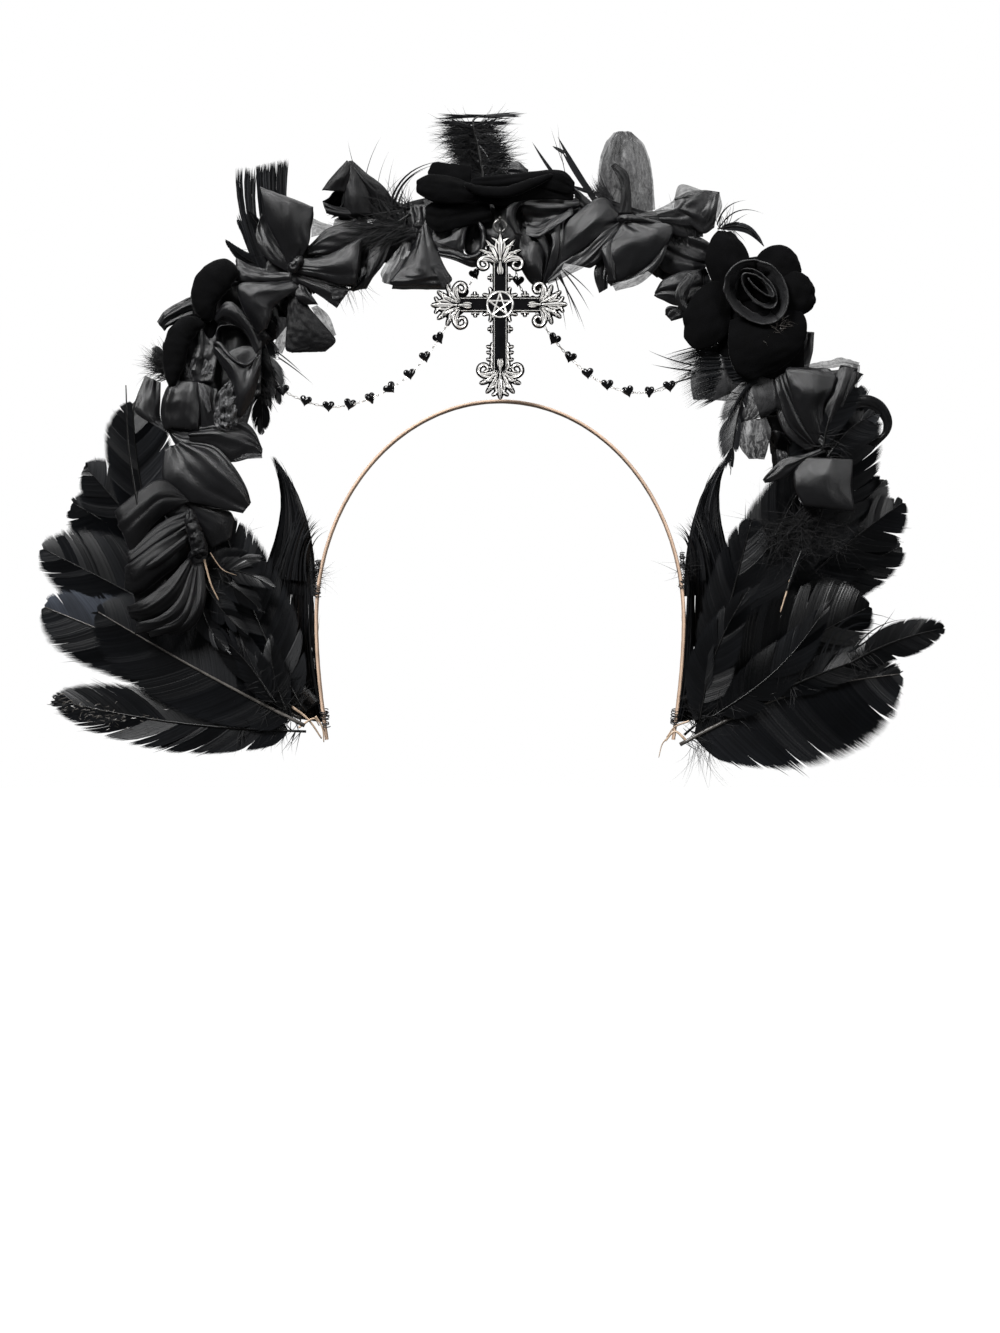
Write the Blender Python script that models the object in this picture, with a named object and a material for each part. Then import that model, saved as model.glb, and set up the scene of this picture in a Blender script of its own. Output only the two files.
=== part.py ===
"""A halo crown: a slim headband with a tall hoop over it, dressed with feathers, ribbon and velvet.

Metres, +Z up. The wearer looks along -Y, so -Y is the front and +X is the viewer's right.
The origin is the underside of the headband at its top, where it sits on the head.
Tables are in millimetres and are turned into metres by MM.
"""

import math

import bmesh
import bpy
from mathutils import Matrix, Vector

MM = 0.001

# Headband: half an ellipse over the head, with a leg down behind each ear.
BAND_HALF_WIDTH = 77.4 * MM
BAND_DROP = 92 * MM
BAND_LEG_END_X = 73 * MM
BAND_LEG_END_Z = -143 * MM
BAND_THICKNESS = 1.5 * MM
BAND_DEPTH = 10 * MM

# Halo hoop: part of a circle that ends beside the ends of the headband.
HOOP_RADIUS = 121 * MM
HOOP_CENTRE = Vector((0, 8, -38)) * MM
HOOP_CORE_RADIUS = 4 * MM
HOOP_END_ANGLE = math.radians(-47)

# The pendant hangs on a wire hook under the top of the hoop.
PENDANT_Y = -16 * MM
HOOK_Z = 74.5 * MM
HOOK_WIRE = 0.6 * MM
RING_RADIUS = 2.5 * MM
RING_WIRE = 0.6 * MM
EYE_RADIUS = 1.55 * MM
EYE_WIRE = 0.5 * MM
CROSS_THICKNESS = 2.2 * MM

# Bead swags.
THREAD_RADIUS = 0.4 * MM
BORE_RADIUS = 0.9 * MM
BEAD_WIDTH = 4.8 * MM
BEAD_THICKNESS = 3 * MM

# Soft walls.
FEATHER_WALL = 1.3 * MM
CLOTH_WALL = 1.2 * MM
VELVET_WALL = 1.6 * MM

# The wings sweep back by this much for each square metre of reach past the headband.
WING_START = 75 * MM
WING_SWEEP = 1.0

# name: (colour, roughness, metallic)
FINISHES = {
    "nude_band": ((0.62, 0.45, 0.34), 0.45, 0.0),
    "black_tape": ((0.02, 0.02, 0.022), 0.35, 0.0),
    "silver": ((0.72, 0.70, 0.68), 0.25, 1.0),
    "black_glass": ((0.01, 0.01, 0.012), 0.08, 0.0),
    "black_feather": ((0.012, 0.014, 0.017), 0.5, 0.0),
    "black_velvet": ((0.008, 0.008, 0.009), 0.95, 0.0),
    "black_satin": ((0.03, 0.03, 0.032), 0.35, 0.0),
}

# Feathers, in millimetres. Rows of one node are joined at their quills.
# node, base x, base z, tip x, tip z, bow, left vane, right vane, layer y, form
FEATHERS = [
    ("feather_left_upper", -147, -66, -159, 0.5, 3, 14, 14, 14.0, "broad"),
    ("feather_left_outer", -146, -66, -178.5, -27.5, 0, 9, 9, 16.6, "broad"),
    ("feather_left_outer", -145, -70, -184, -40, -3, 9, 9, 17.2, "broad"),
    ("feather_left_high", -86, -132, -196, -62, -3, 12, 16, -1.8, "broad"),
    ("feather_left_middle", -84.5, -134, -194.5, -87, -1, 16, 12, -4.0, "broad"),
    ("feather_left_front", -82.5, -137, -172, -88, 1, 20, 20, -10.6, "broad"),
    ("feather_left_low", -82, -139.5, -190, -127, 4, 13, 12, -8.4, "broad"),
    ("feather_left_broad", -83, -131, -119, -48, 2, 17, 12, -6.2, "broad"),
    ("feather_left_inner", -86, -120, -96.5, -23.4, 0, 12, 11, 14.0, "horn"),
    ("feather_right_outer", 120, -84, 174, -41, 2, 10, 12, 14.0, "broad"),
    ("feather_right_outer", 131, -64, 151, 7, 0, 13, 11, 14.5, "broad"),
    ("feather_right_upper", 120, -80, 166, -30, 0, 9, 9, 16.6, "broad"),
    ("feather_right_upper", 120, -86, 173, -60, 0, 9, 9, 17.2, "broad"),
    ("feather_right_high", 85, -126, 136, -21, 2, 15, 12, -1.8, "broad"),
    ("feather_right_high", 88, -130, 107, -49, 0, 10, 14, -2.3, "broad"),
    ("feather_right_broad", 78, -141, 158, -86, 4, 24, 14, -6.2, "broad"),
    ("feather_right_front", 76, -145, 172, -117, 8, 12, 29, -10.6, "broad"),
    ("feather_right_twisted", 114, -124, 188.7, -95.6, 1, 8, 8, -12.9, "leaf"),
    ("feather_right_inner", 83, -120, 95, -26.8, 0, 11, 12, 14.0, "horn"),
]

# Bead places along each swag, from the top of the hoop outwards, x and z in millimetres.
BEADS_LEFT = [
    (-10.6, 54.4), (-15.7, 45.9), (-21.0, 36.1), (-25.9, 27.2), (-31.7, 19.3), (-38.3, 11.9),
    (-46.5, 6.0), (-54.9, 1.8), (-63.8, -0.9), (-72.8, -1.7), (-82.6, 0.6), (-92.2, 5.1),
]
BEADS_RIGHT = [
    (7.7, 51.4), (12.4, 43.2), (17.2, 34.9), (22.9, 26.8), (29.7, 19.1),
    (37.2, 12.3), (45.5, 7.4), (54.4, 4.6), (63.4, 4.5), (72.0, 6.8),
]
STRAND_Y = -2 * MM


def clear_scene():
    for item in list(bpy.data.objects):
        bpy.data.objects.remove(item, do_unlink=True)


def finish(name):
    """The named finish, made once."""
    found = bpy.data.materials.get(name)
    if found:
        return found
    colour, roughness, metallic = FINISHES[name]
    made = bpy.data.materials.new(name)
    made.use_nodes = True
    shader = made.node_tree.nodes["Principled BSDF"]
    shader.inputs["Base Color"].default_value = (*colour, 1)
    shader.inputs["Roughness"].default_value = roughness
    shader.inputs["Metallic"].default_value = metallic
    return made


def add_object(name, mesh, finish_name):
    item = bpy.data.objects.new(name, mesh)
    bpy.context.scene.collection.objects.link(item)
    mesh.materials.append(finish(finish_name))
    return item


def add_shape(name, points, faces, finish_name):
    """An object of a mesh whose normals point outwards."""
    mesh = bpy.data.meshes.new(name)
    mesh.from_pydata([tuple(p) for p in points], [], faces)
    shape = bmesh.new()
    shape.from_mesh(mesh)
    bmesh.ops.recalc_face_normals(shape, faces=shape.faces)
    shape.to_mesh(mesh)
    shape.free()
    mesh.shade_smooth()
    mesh.set_sharp_from_angle(angle=math.radians(35))
    return add_object(name, mesh, finish_name)


def add_sheet(name, rows, wall, finish_name):
    """A wall of even thickness about the surface through rows of points."""
    wide = len(rows[0])
    points = [p for row in rows for p in row]
    faces = [
        (i * wide + j, i * wide + j + 1, (i + 1) * wide + j + 1, (i + 1) * wide + j)
        for i in range(len(rows) - 1)
        for j in range(wide - 1)
    ]
    item = add_shape(name, points, faces, finish_name)
    solid = item.modifiers.new("wall", "SOLIDIFY")
    solid.thickness = wall
    solid.offset = 0
    return item


def add_loft(name, rings, finish_name):
    """A closed body through rings of points, with a flat face on each end."""
    count = len(rings[0])
    points = [p for ring in rings for p in ring]
    faces = [
        (
            i * count + j,
            i * count + (j + 1) % count,
            (i + 1) * count + (j + 1) % count,
            (i + 1) * count + j,
        )
        for i in range(len(rings) - 1)
        for j in range(count)
    ]
    faces.append(tuple(range(count)))
    faces.append(tuple((len(rings) - 1) * count + j for j in range(count)))
    return add_shape(name, points, faces, finish_name)


def join(kept, others, operation="UNION"):
    """Adds other bodies to one, or cuts them from it, and keeps them only as helpers."""
    for other in others:
        step = kept.modifiers.new("join", "BOOLEAN")
        step.operation = operation
        step.object = other
        other.hide_render = True
        other.display_type = "WIRE"
    return kept


def swept(x):
    """How far back the wings lie at this distance from the middle."""
    return WING_SWEEP * max(0, abs(x) - WING_START) ** 2


def smooth_line(points, step):
    """Points about a step apart on a smooth curve through the given ones."""
    ends = [2 * points[0] - points[1]] + points + [2 * points[-1] - points[-2]]
    line = []
    for i in range(1, len(ends) - 2):
        a, b, c, d = ends[i - 1 : i + 3]
        pieces = max(1, round((c - b).length / step))
        for k in range(pieces):
            t = k / pieces
            line.append(
                0.5
                * (
                    2 * b
                    + (c - a) * t
                    + (2 * a - 5 * b + 4 * c - d) * t**2
                    + (3 * b - a - 3 * c + d) * t**3
                )
            )
    return line + [points[-1]]


def add_wire(name, line, radius, finish_name, bevel_resolution=2):
    """A round tube along a line of points."""
    curve = bpy.data.curves.new(name, "CURVE")
    curve.dimensions = "3D"
    curve.bevel_depth = radius
    curve.bevel_resolution = bevel_resolution
    curve.use_fill_caps = True
    spline = curve.splines.new("POLY")
    spline.points.add(len(line) - 1)
    for place, p in zip(spline.points, line):
        place.co = (*p, 1)
    return add_object(name, curve, finish_name)


def add_ring(name, centre, radius, wire, axis, finish_name, around=20, section=8):
    """A closed wire ring about an axis."""
    turn = Vector(axis).to_track_quat("Z", "Y")
    points, faces = [], []
    for i in range(around):
        a = 2 * math.pi * i / around
        for j in range(section):
            b = 2 * math.pi * j / section
            reach = radius + wire * math.cos(b)
            local = Vector((reach * math.cos(a), reach * math.sin(a), wire * math.sin(b)))
            points.append(centre + turn @ local)
            faces.append(
                (
                    i * section + j,
                    i * section + (j + 1) % section,
                    ((i + 1) % around) * section + (j + 1) % section,
                    ((i + 1) % around) * section + j,
                )
            )
    return add_shape(name, points, faces, finish_name)


def add_ball(name, centre, radii, finish_name):
    mesh = bpy.data.meshes.new(name)
    ball = bmesh.new()
    bmesh.ops.create_uvsphere(ball, u_segments=10, v_segments=6, radius=1)
    place = Matrix.Translation(centre) @ Matrix.Diagonal((*radii, 1))
    bmesh.ops.transform(ball, matrix=place, verts=ball.verts)
    ball.to_mesh(mesh)
    ball.free()
    mesh.shade_smooth()
    return add_object(name, mesh, finish_name)


def add_prism(name, outline, y_low, y_high, finish_name):
    """An outline of (x, z) points carried from one y to another."""
    rings = [[Vector((x, y, z)) for x, z in outline] for y in (y_low, y_high)]
    return add_loft(name, rings, finish_name)


# ---- headband and hoop ----


def build_headband():
    line = []
    arc_steps, leg_steps = 44, 4
    for i in range(leg_steps):
        t = i / leg_steps
        x = -BAND_LEG_END_X + (BAND_LEG_END_X - BAND_HALF_WIDTH) * math.sin(t * math.pi / 2)
        z = BAND_LEG_END_Z + (-BAND_DROP - BAND_LEG_END_Z) * t
        line.append(Vector((x, 0, z)))
    for i in range(arc_steps + 1):
        a = math.pi * i / arc_steps
        x = -BAND_HALF_WIDTH * math.cos(a)
        z = -BAND_DROP + BAND_DROP * math.sin(a)
        line.append(Vector((x, 0, z)))
    line += [Vector((-p.x, 0, p.z)) for p in reversed(line[:leg_steps])]
    rings = []
    for i, p in enumerate(line):
        ahead, behind = line[min(i + 1, len(line) - 1)], line[max(i - 1, 0)]
        along = (ahead - behind).normalized()
        out = Vector((-along.z, 0, along.x))
        half = Vector((0, BAND_DEPTH / 2, 0))
        inner, outer = p, p + out * BAND_THICKNESS
        rings.append([inner - half, inner + half, outer + half, outer - half])
    add_loft("headband", rings, "nude_band")


def hoop_point(angle, radius=HOOP_RADIUS):
    return HOOP_CENTRE + radius * Vector((math.cos(angle), 0, math.sin(angle)))


def build_hoop():
    steps, section = 52, 8
    span = math.pi - 2 * HOOP_END_ANGLE
    rings = []
    for i in range(steps + 1):
        angle = HOOP_END_ANGLE + span * i / steps
        ring = []
        for j in range(section):
            b = 2 * math.pi * j / section
            p = hoop_point(angle, HOOP_RADIUS + HOOP_CORE_RADIUS * math.cos(b))
            ring.append(p + Vector((0, HOOP_CORE_RADIUS * math.sin(b), 0)))
        rings.append(ring)
    hoop = add_loft("halo_hoop", rings, "black_tape")
    # The hook runs forward from inside the core and turns up at its end.
    route = [(8, 81), (3, 77.8), (-4, 75.6), (-11, 74.6), (-16, 74.5), (-19.5, 74.8), (-21.5, 76.8)]
    line = smooth_line([Vector((0, y, z)) * MM for y, z in route], 2 * MM)
    hook = add_wire("hook_wire", line, HOOK_WIRE, "silver")
    return join(hoop, [as_mesh(hook)])


def as_mesh(item):
    """The same body as a mesh object, because a Boolean takes no curve."""
    name = item.name
    graph = bpy.context.evaluated_depsgraph_get()
    mesh = bpy.data.meshes.new_from_object(item.evaluated_get(graph))
    bpy.data.objects.remove(item, do_unlink=True)
    shape = bmesh.new()
    shape.from_mesh(mesh)
    bmesh.ops.remove_doubles(shape, verts=shape.verts, dist=1e-6)
    bmesh.ops.recalc_face_normals(shape, faces=shape.faces)
    shape.to_mesh(mesh)
    shape.free()
    made = bpy.data.objects.new(name, mesh)
    bpy.context.scene.collection.objects.link(made)
    return made


# ---- pendant ----


def leaf_outline(x, z, angle, length, width, steps=10):
    """A pointed oval that starts at a place and runs along an angle."""
    outline = []
    for i in range(steps):
        t = 2 * math.pi * i / steps
        along = length * (1 - math.cos(t)) / 2
        across = width / 2 * math.sin(t)
        outline.append(
            (
                x + along * math.cos(angle) - across * math.sin(angle),
                z + along * math.sin(angle) + across * math.cos(angle),
            )
        )
    return outline


def box_outline(x0, x1, z0, z1):
    return [(x0 * MM, z0 * MM), (x1 * MM, z0 * MM), (x1 * MM, z1 * MM), (x0 * MM, z1 * MM)]


def build_pendant():
    y_low, y_high = PENDANT_Y - CROSS_THICKNESS / 2, PENDANT_Y + CROSS_THICKNESS / 2
    add_ring(
        "pendant_ring",
        Vector((0, PENDANT_Y, HOOK_Z - 1.0 * MM)),
        RING_RADIUS,
        RING_WIRE,
        (0, 1, 0),
        "silver",
    )
    cross = add_prism("cross_pendant", box_outline(-2.65, 2.65, 4, 66), y_low, y_high, "silver")
    across = box_outline(-25, 25, 37.5, 43.2)
    extras = [add_prism("bar_across", across, y_low - 0.07 * MM, y_high + 0.08 * MM, "silver")]
    medal = [
        (5.7 * MM * math.cos(math.radians(18 * i)), (40.35 + 5.7 * math.sin(math.radians(18 * i))) * MM)
        for i in range(20)
    ]
    extras.append(add_prism("medallion", medal, y_low - 0.5 * MM, y_high + 0.4 * MM, "silver"))
    # finial: root x, root z, heading in degrees, reach, spread
    finials = [
        (0, 54.5, 90, 15.2, 8.7),
        (0, 15.0, -90, 14.9, 9.3),
        (-14.5, 40.35, 180, 14.6, 9.6),
        (14.5, 40.35, 0, 14.2, 9.4),
    ]
    for index, (x, z, heading, reach, spread) in enumerate(finials):
        # leaves of a finial: share of the reach where it starts, turn, length, width
        leaves = [(0.0, 0, reach, 5.5), (0.26, 52, spread * 1.15, 4.2), (0.3, -52, spread * 1.15, 4.2)]
        for number, (start, turn, length, width) in enumerate(leaves):
            a = math.radians(heading)
            sx, sz = x + reach * start * math.cos(a), z + reach * start * math.sin(a)
            outline = leaf_outline(
                sx * MM, sz * MM, math.radians(heading + turn), length * MM, width * MM
            )
            grow = (0.15 + 0.1 * number) * MM
            extras.append(
                add_prism(f"leaf_{index}_{number}", outline, y_low - grow, y_high + grow, "silver")
            )
    eye = add_ring(
        "bail_eye",
        Vector((0, PENDANT_Y, HOOK_Z - 1.0 * MM - RING_RADIUS - 0.1 * MM)),
        EYE_RADIUS,
        EYE_WIRE,
        (1, 0, 0),
        "silver",
        around=16,
        section=6,
    )
    join(cross, extras + [eye])


# ---- bead swags ----


def heart_outline(width, steps=12):
    outline = []
    for i in range(steps):
        t = 2 * math.pi * (i + 0.5) / steps
        x = 16 * math.sin(t) ** 3
        z = 13 * math.cos(t) - 5 * math.cos(2 * t) - 2 * math.cos(3 * t) - math.cos(4 * t) + 2.5
        outline.append((x * width / 32, z * width / 32))
    return outline


def add_bead(name, centre, along):
    """A heart with softened faces and a bore along its thread."""
    rings = []
    for y, scale in ((-0.5, 0.55), (-0.22, 1), (0.22, 1), (0.5, 0.55)):
        rings.append(
            [
                centre + Vector((x * scale, y * BEAD_THICKNESS, z * scale))
                for x, z in heart_outline(BEAD_WIDTH)
            ]
        )
    bead = add_loft(name, rings, "black_glass")
    turn = along.to_track_quat("Z", "Y")
    reach = 4 * MM
    bore = [
        [
            centre
            + turn
            @ Vector(
                (
                    BORE_RADIUS * math.cos(2 * math.pi * k / 8),
                    BORE_RADIUS * math.sin(2 * math.pi * k / 8),
                    z,
                )
            )
            for k in range(8)
        ]
        for z in (-reach, reach)
    ]
    cutter = add_loft(name + "_bore", bore, "black_glass")
    join(bead, [cutter], "DIFFERENCE")


def build_strand(side, beads, top, end):
    """One thread from under the hoop's top to its side, with its beads."""
    places = [Vector((x * MM, STRAND_Y, z * MM)) for x, z in beads]
    route = [Vector(p) * MM for p in top] + places + [Vector(p) * MM for p in end]
    line = smooth_line(route, 3.5 * MM)
    add_wire(f"strand_{side}", line, THREAD_RADIUS, "silver")
    for number, place in enumerate(places, 1):
        nearest = min(range(1, len(line) - 1), key=lambda i: (line[i] - place).length)
        along = (line[nearest + 1] - line[nearest - 1]).normalized()
        add_bead(f"bead_{side}_{number:02d}", place, along)


# ---- feathers ----


def vane(form, u):
    """The share of its full width that a vane has at a share of its length."""
    if form == "horn":
        share = math.sin(math.pi * math.sqrt(u)) ** 0.9 if 0 < u < 1 else 0
    elif form == "leaf":
        share = math.sin(math.pi * u) ** 0.7 if 0 < u < 1 else 0
    elif form == "clipped":
        share = 0.35 + 0.65 * math.sin(math.pi / 2 * u)
    else:
        share = math.sin(math.pi * u**0.9) ** 0.6 if 0 < u < 1 else 0
    return max(0.05, share)


def blade_rows(base, tip, bow, left, right, form, cup=0, steps=10, across=4):
    """Rows of points for a blade from its base to its tip, seen from the front."""
    along = tip - base
    flat = Vector((along.x, 0, along.z)).normalized()
    side = Vector((-flat.z, 0, flat.x))
    rows = []
    for i in range(steps + 1):
        u = i / steps
        middle = base + along * u + side * bow * math.sin(math.pi * u)
        row = []
        for j in range(across + 1):
            v = 2 * j / across - 1
            reach = (left if v > 0 else right) * vane(form, u)
            row.append(middle + side * reach * v + Vector((0, cup * v * v * vane(form, u), 0)))
        rows.append(row)
    return rows


def build_feathers():
    made = {}
    for node, bx, bz, tx, tz, bow, left, right, layer, form in FEATHERS:
        base, tip = Vector((bx, layer, bz)) * MM, Vector((tx, layer, tz)) * MM
        rows = blade_rows(base, tip, bow * MM, left * MM, right * MM, form)
        for row in rows:
            for p in row:
                p.y += swept(p.x)
        name = node if node not in made else node + "_more"
        blade = add_sheet(name, rows, FEATHER_WALL, "black_feather")
        if node in made:
            join(made[node], [blade])
        made[node] = blade if node not in made else made[node]


def add_blade(name, base, tip, bow, left, right, form, cup, wall, finish_name, **more):
    """A blade with its sizes given in millimetres."""
    rows = blade_rows(
        Vector(base) * MM, Vector(tip) * MM, bow * MM, left * MM, right * MM, form, cup * MM, **more
    )
    return add_sheet(name, rows, wall, finish_name)


def build_small_feathers():
    add_blade(
        "feather_tuft_left", (-92, 14.5, 62), (-103, 15, 100), 2, 11, 11, "clipped", 0,
        FEATHER_WALL, "black_feather",
    )
    brush = add_blade(
        "feather_brush_right", (104, -5.2, 14), (71, -5.6, 7), -3, 10, 10, "broad", 0,
        FEATHER_WALL, "black_feather",
    )
    hanging = add_blade(
        "hanging_feather", (104, -5.8, 14), (96, -5.2, -27.5), -3, 13, 8, "broad", 0,
        FEATHER_WALL, "black_feather",
    )
    join(brush, [hanging])
    # plume sections: z, middle x, half width, half depth
    sections = [
        (88, -6.5, 3, 3), (93, -7.5, 10, 5), (100, -9, 17, 7), (108, -10, 19, 7.5),
        (115, -10.5, 18, 7), (121, -10.5, 17.5, 5),
    ]
    rings = [
        [
            Vector(
                (
                    x + half * math.cos(2 * math.pi * k / 12),
                    8 + depth * math.sin(2 * math.pi * k / 12),
                    z,
                )
            )
            * MM
            for k in range(12)
        ]
        for z, x, half, depth in sections
    ]
    add_loft("plume_top", rings, "black_feather")


# ---- ribbon ----


def loop_rows(knot, tip, half_knot, half_tip, depth, turn, steps=12, across=2):
    """Rows along a strip of ribbon that runs out from its knot, folds over and comes back."""
    along = tip - knot
    length = along.length
    along.normalize()
    side = Vector((-along.z, 0, along.x)).normalized()
    side.rotate(Matrix.Rotation(math.radians(turn), 3, along))
    face = along.cross(side)
    apart = 0.9 * CLOTH_WALL
    rows = []
    for i in range(steps + 1):
        s = i / steps
        out = length * (1 - math.cos(2 * math.pi * s)) / 2
        lift = depth / 2 * math.sin(2 * math.pi * s) + apart * math.cos(math.pi * s)
        half = half_knot + (half_tip - half_knot) * math.sin(math.pi * s) ** 1.3
        middle = knot + along * out + face * lift
        rows.append([middle + side * half * (2 * j / across - 1) for j in range(across + 1)])
    return rows


def add_loop(name, knot, tip, half_knot, half_tip, depth, turn=0, finish_name="black_satin"):
    """A ribbon loop with its sizes given in millimetres."""
    rows = loop_rows(
        Vector(knot) * MM, Vector(tip) * MM, half_knot * MM, half_tip * MM, depth * MM, turn
    )
    return add_sheet(name, rows, CLOTH_WALL, finish_name)


def build_bow(name, knot, knot_size, loops):
    """A tied bow: its loops joined in a round knot."""
    ball = add_ball(name, Vector(knot) * MM, [r * MM for r in knot_size], "black_satin")
    made = [add_loop(f"{name}_loop_{i}", *row) for i, row in enumerate(loops)]
    return join(ball, made)


def build_ribbons():
    # loops: start, end, half width at the start, half width at the end, depth, turn
    build_bow(
        "bow_left",
        (-85.5, -8, 53.5),
        (4.5, 4.5, 4.5),
        [
            ((-86, -8, 54), (-90.5, -9, 86), 3.5, 12.5, 13, 12),
            ((-86, -7, 53), (-106, -5, 45), 3.5, 15, 8, -6),
            ((-85, -8, 54), (-61, -9, 58), 3.5, 10.5, 11, 8),
            ((-84, -6, 52), (-79.5, -5, 21.5), 3.0, 11, 6, 0),
        ],
    )
    build_bow(
        "bow_right",
        (50.6, -8, 77),
        (4, 4, 4),
        [
            ((50.6, -7, 77), (53, -5, 115), 3, 12, 10, 10),
            ((50, -8, 77), (36, -9, 83), 3, 7, 7, 0),
            ((50, -9.5, 76), (24, -10.6, 66), 3, 10.5, 5, -6),
            ((51, -8, 76), (68, -9, 58), 3, 14, 10, 14),
            ((63, -7, 72), (86, -7, 86), 4, 10, 7, 0),
        ],
    )
    add_loop("ribbon_loop_top_left", (-31, -1.5, 79), (-36, -1.5, 48), 2, 15, 4.5)
    add_loop("ribbon_loop_top_right", (15, -0.8, 77), (33, -0.8, 52), 4, 14, 5.5)
    bud = add_blade(
        "satin_bud", (-59, -4, 74), (-64, 0, 102), 0, 13, 14, "leaf", 9, CLOTH_WALL, "black_satin"
    )
    inner = add_loop("bud_inner", (-60, 1, 75), (-68, 3, 90), 4, 9, 8)
    join(bud, [inner])
    rosette = add_ball("satin_rosette_top", Vector((-14, -9.5, 74)) * MM, (0.005, 0.003, 0.004), "black_satin")
    folds = [
        ((-14, -9.5, 74), (-24, -9.8, 66), 3, 6, 5, 12),
        ((-14, -9.5, 74), (-16, -9.8, 59), 3, 7, 5, -12),
    ]
    join(rosette, [add_loop(f"rosette_fold_{i}", *row) for i, row in enumerate(folds)])


def build_pleated_rosette():
    """A gathered ribbon fan: pleats that spread from its gathering stitch."""
    gather = Vector((-121, -17, -56)) * MM
    start, end = math.radians(118), math.radians(268)
    pleats, ridge = 6, 3.2 * MM
    rows = []
    steps = 36
    for i in range(steps + 1):
        share = i / steps
        angle = start + (end - start) * share
        reach = (27 + 18 * math.sin(math.pi / 2 * min(1, share * 1.3))) * MM
        row = []
        for j in range(5):
            r = reach * (0.08 + 0.92 * j / 4)
            wave = ridge * math.sin(2 * math.pi * pleats * share) * j / 4
            row.append(gather + Vector((r * math.cos(angle), wave, r * math.sin(angle))))
        rows.append(row)
    add_sheet("pleated_rosette_left", rows, CLOTH_WALL, "black_satin")


def build_satin_flowers():
    # Left: a cupped loop, a square loop and three leaf-shaped petals on one stem.
    stem = add_ball("satin_flower_left", Vector((-123, -7, -6)) * MM, (0.005, 0.004, 0.007), "black_satin")
    pieces = [
        add_loop("cup_loop", (-115, -10, 2), (-105.5, -19.5, 33), 5, 9, 8, 10),
        add_loop("square_loop", (-127, -7, -12), (-138, -8, 7), 6, 10, 8, 0),
        add_blade(
            "crinkled_petal", (-120, -6, -12), (-106, -7, 12), 0, 10, 9, "broad", -2,
            CLOTH_WALL, "black_satin",
        ),
        add_blade(
            "leaf_low", (-131, -8, -14), (-105, -10, -47), 4, 9, 9, "leaf", 2,
            CLOTH_WALL, "black_satin",
        ),
        add_blade(
            "leaf_high", (-128, -8, -13), (-100, -9, -22), 2, 7, 7, "leaf", 2,
            CLOTH_WALL, "black_satin",
        ),
    ]
    join(stem, pieces)
    # Right: a tulip-like petal over a square panel, gathered between them.
    panel = add_loop("satin_petals_right", (137, -7, -16), (137, -8, -46), 9, 13, 6, 4)
    tulip = add_loop("tulip_loop", (135, -7, -19), (133.5, -8, 15), 5, 9.5, 9, 0)
    join(panel, [tulip])


# ---- velvet and chiffon ----


def build_velvet():
    top = add_ball("velvet_flower_top", Vector((-3, -11, 87)) * MM, (0.006, 0.003, 0.005), "black_velvet")
    # petals: base, tip, left half, right half, cup
    petals = [
        ((1, -11, 86), (-36, -13, 88), 14, 13.5, -4),
        ((-4, -11.5, 87), (32, -12, 90.5), 10, 9, -3),
        ((-6, -13, 88), (-25, -16, 68.5), 8, 8, -2),
    ]
    join(
        top,
        [
            add_blade(f"top_petal_{i}", a, b, 0, l, r, "broad", cup, VELVET_WALL, "black_velvet")
            for i, (a, b, l, r, cup) in enumerate(petals)
        ],
    )
    stem = add_ball("velvet_petals_left", Vector((-116, -11.5, 39)) * MM, (0.005, 0.002, 0.005), "black_velvet")
    high = add_blade(
        "high_petal", (-114, -12, 38), (-122, -13, 61.5), 5, 7, 8, "broad", -2.5,
        VELVET_WALL, "black_velvet",
    )
    low = add_blade(
        "low_petal", (-115, -11.9, 41), (-137, -13, 4), -5, 8, 7, "broad", -2.5,
        VELVET_WALL, "black_velvet",
    )
    join(stem, [high, low])
    flower = add_ball("velvet_flower_right", Vector((107, -9, 45)) * MM, (0.009, 0.0015, 0.009), "black_velvet")
    petals = [
        ((104, -9, 44), (94, -10, 74), 10, 9, -3),
        ((104, -9, 45), (133, -11, 52), 15, 15, -3),
        ((107, -9, 47), (115, -12, 10), 15, 14, -3),
        ((109, -9, 46), (77, -11, 33), 12, 12, -3),
    ]
    join(
        flower,
        [
            add_blade(f"right_petal_{i}", a, b, 0, l, r, "broad", cup, VELVET_WALL, "black_velvet")
            for i, (a, b, l, r, cup) in enumerate(petals)
        ],
    )


def build_rose():
    """A rose rolled from one strip of chiffon."""
    centre = Vector((107.1, 0, 45.6)) * MM
    turns, steps, across = 2.3, 44, 2
    inner, outer = 2.2 * MM, 12.6 * MM
    back, front = -13.5 * MM, -23 * MM
    rows = []
    for i in range(steps + 1):
        share = i / steps
        angle = 2 * math.pi * turns * share + math.radians(35)
        radius = inner + (outer - inner) * share
        row = []
        for j in range(across + 1):
            v = j / across
            reach = radius * (0.86 + 0.17 * v)
            y = back + (front - back) * v * (1 - 0.35 * share)
            row.append(centre + Vector((reach * math.cos(angle), y, 1.12 * reach * math.sin(angle))))
        rows.append(row)
    add_sheet("chiffon_rose", rows, CLOTH_WALL, "black_satin")


clear_scene()
build_headband()
build_hoop()
build_pendant()
build_strand("left", BEADS_LEFT, [(-5, 5, 78.2), (-7, 0, 67)], [(-98, 0, 9), (-101.6, 5, 12.2)])
build_strand("right", BEADS_RIGHT, [(4.5, 5, 78.2), (5.5, 0, 66)], [(80, -2, 12), (97.4, 1.6, 24)])
build_feathers()
build_small_feathers()
build_ribbons()
build_pleated_rosette()
build_satin_flowers()
build_velvet()
build_rose()
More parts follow.
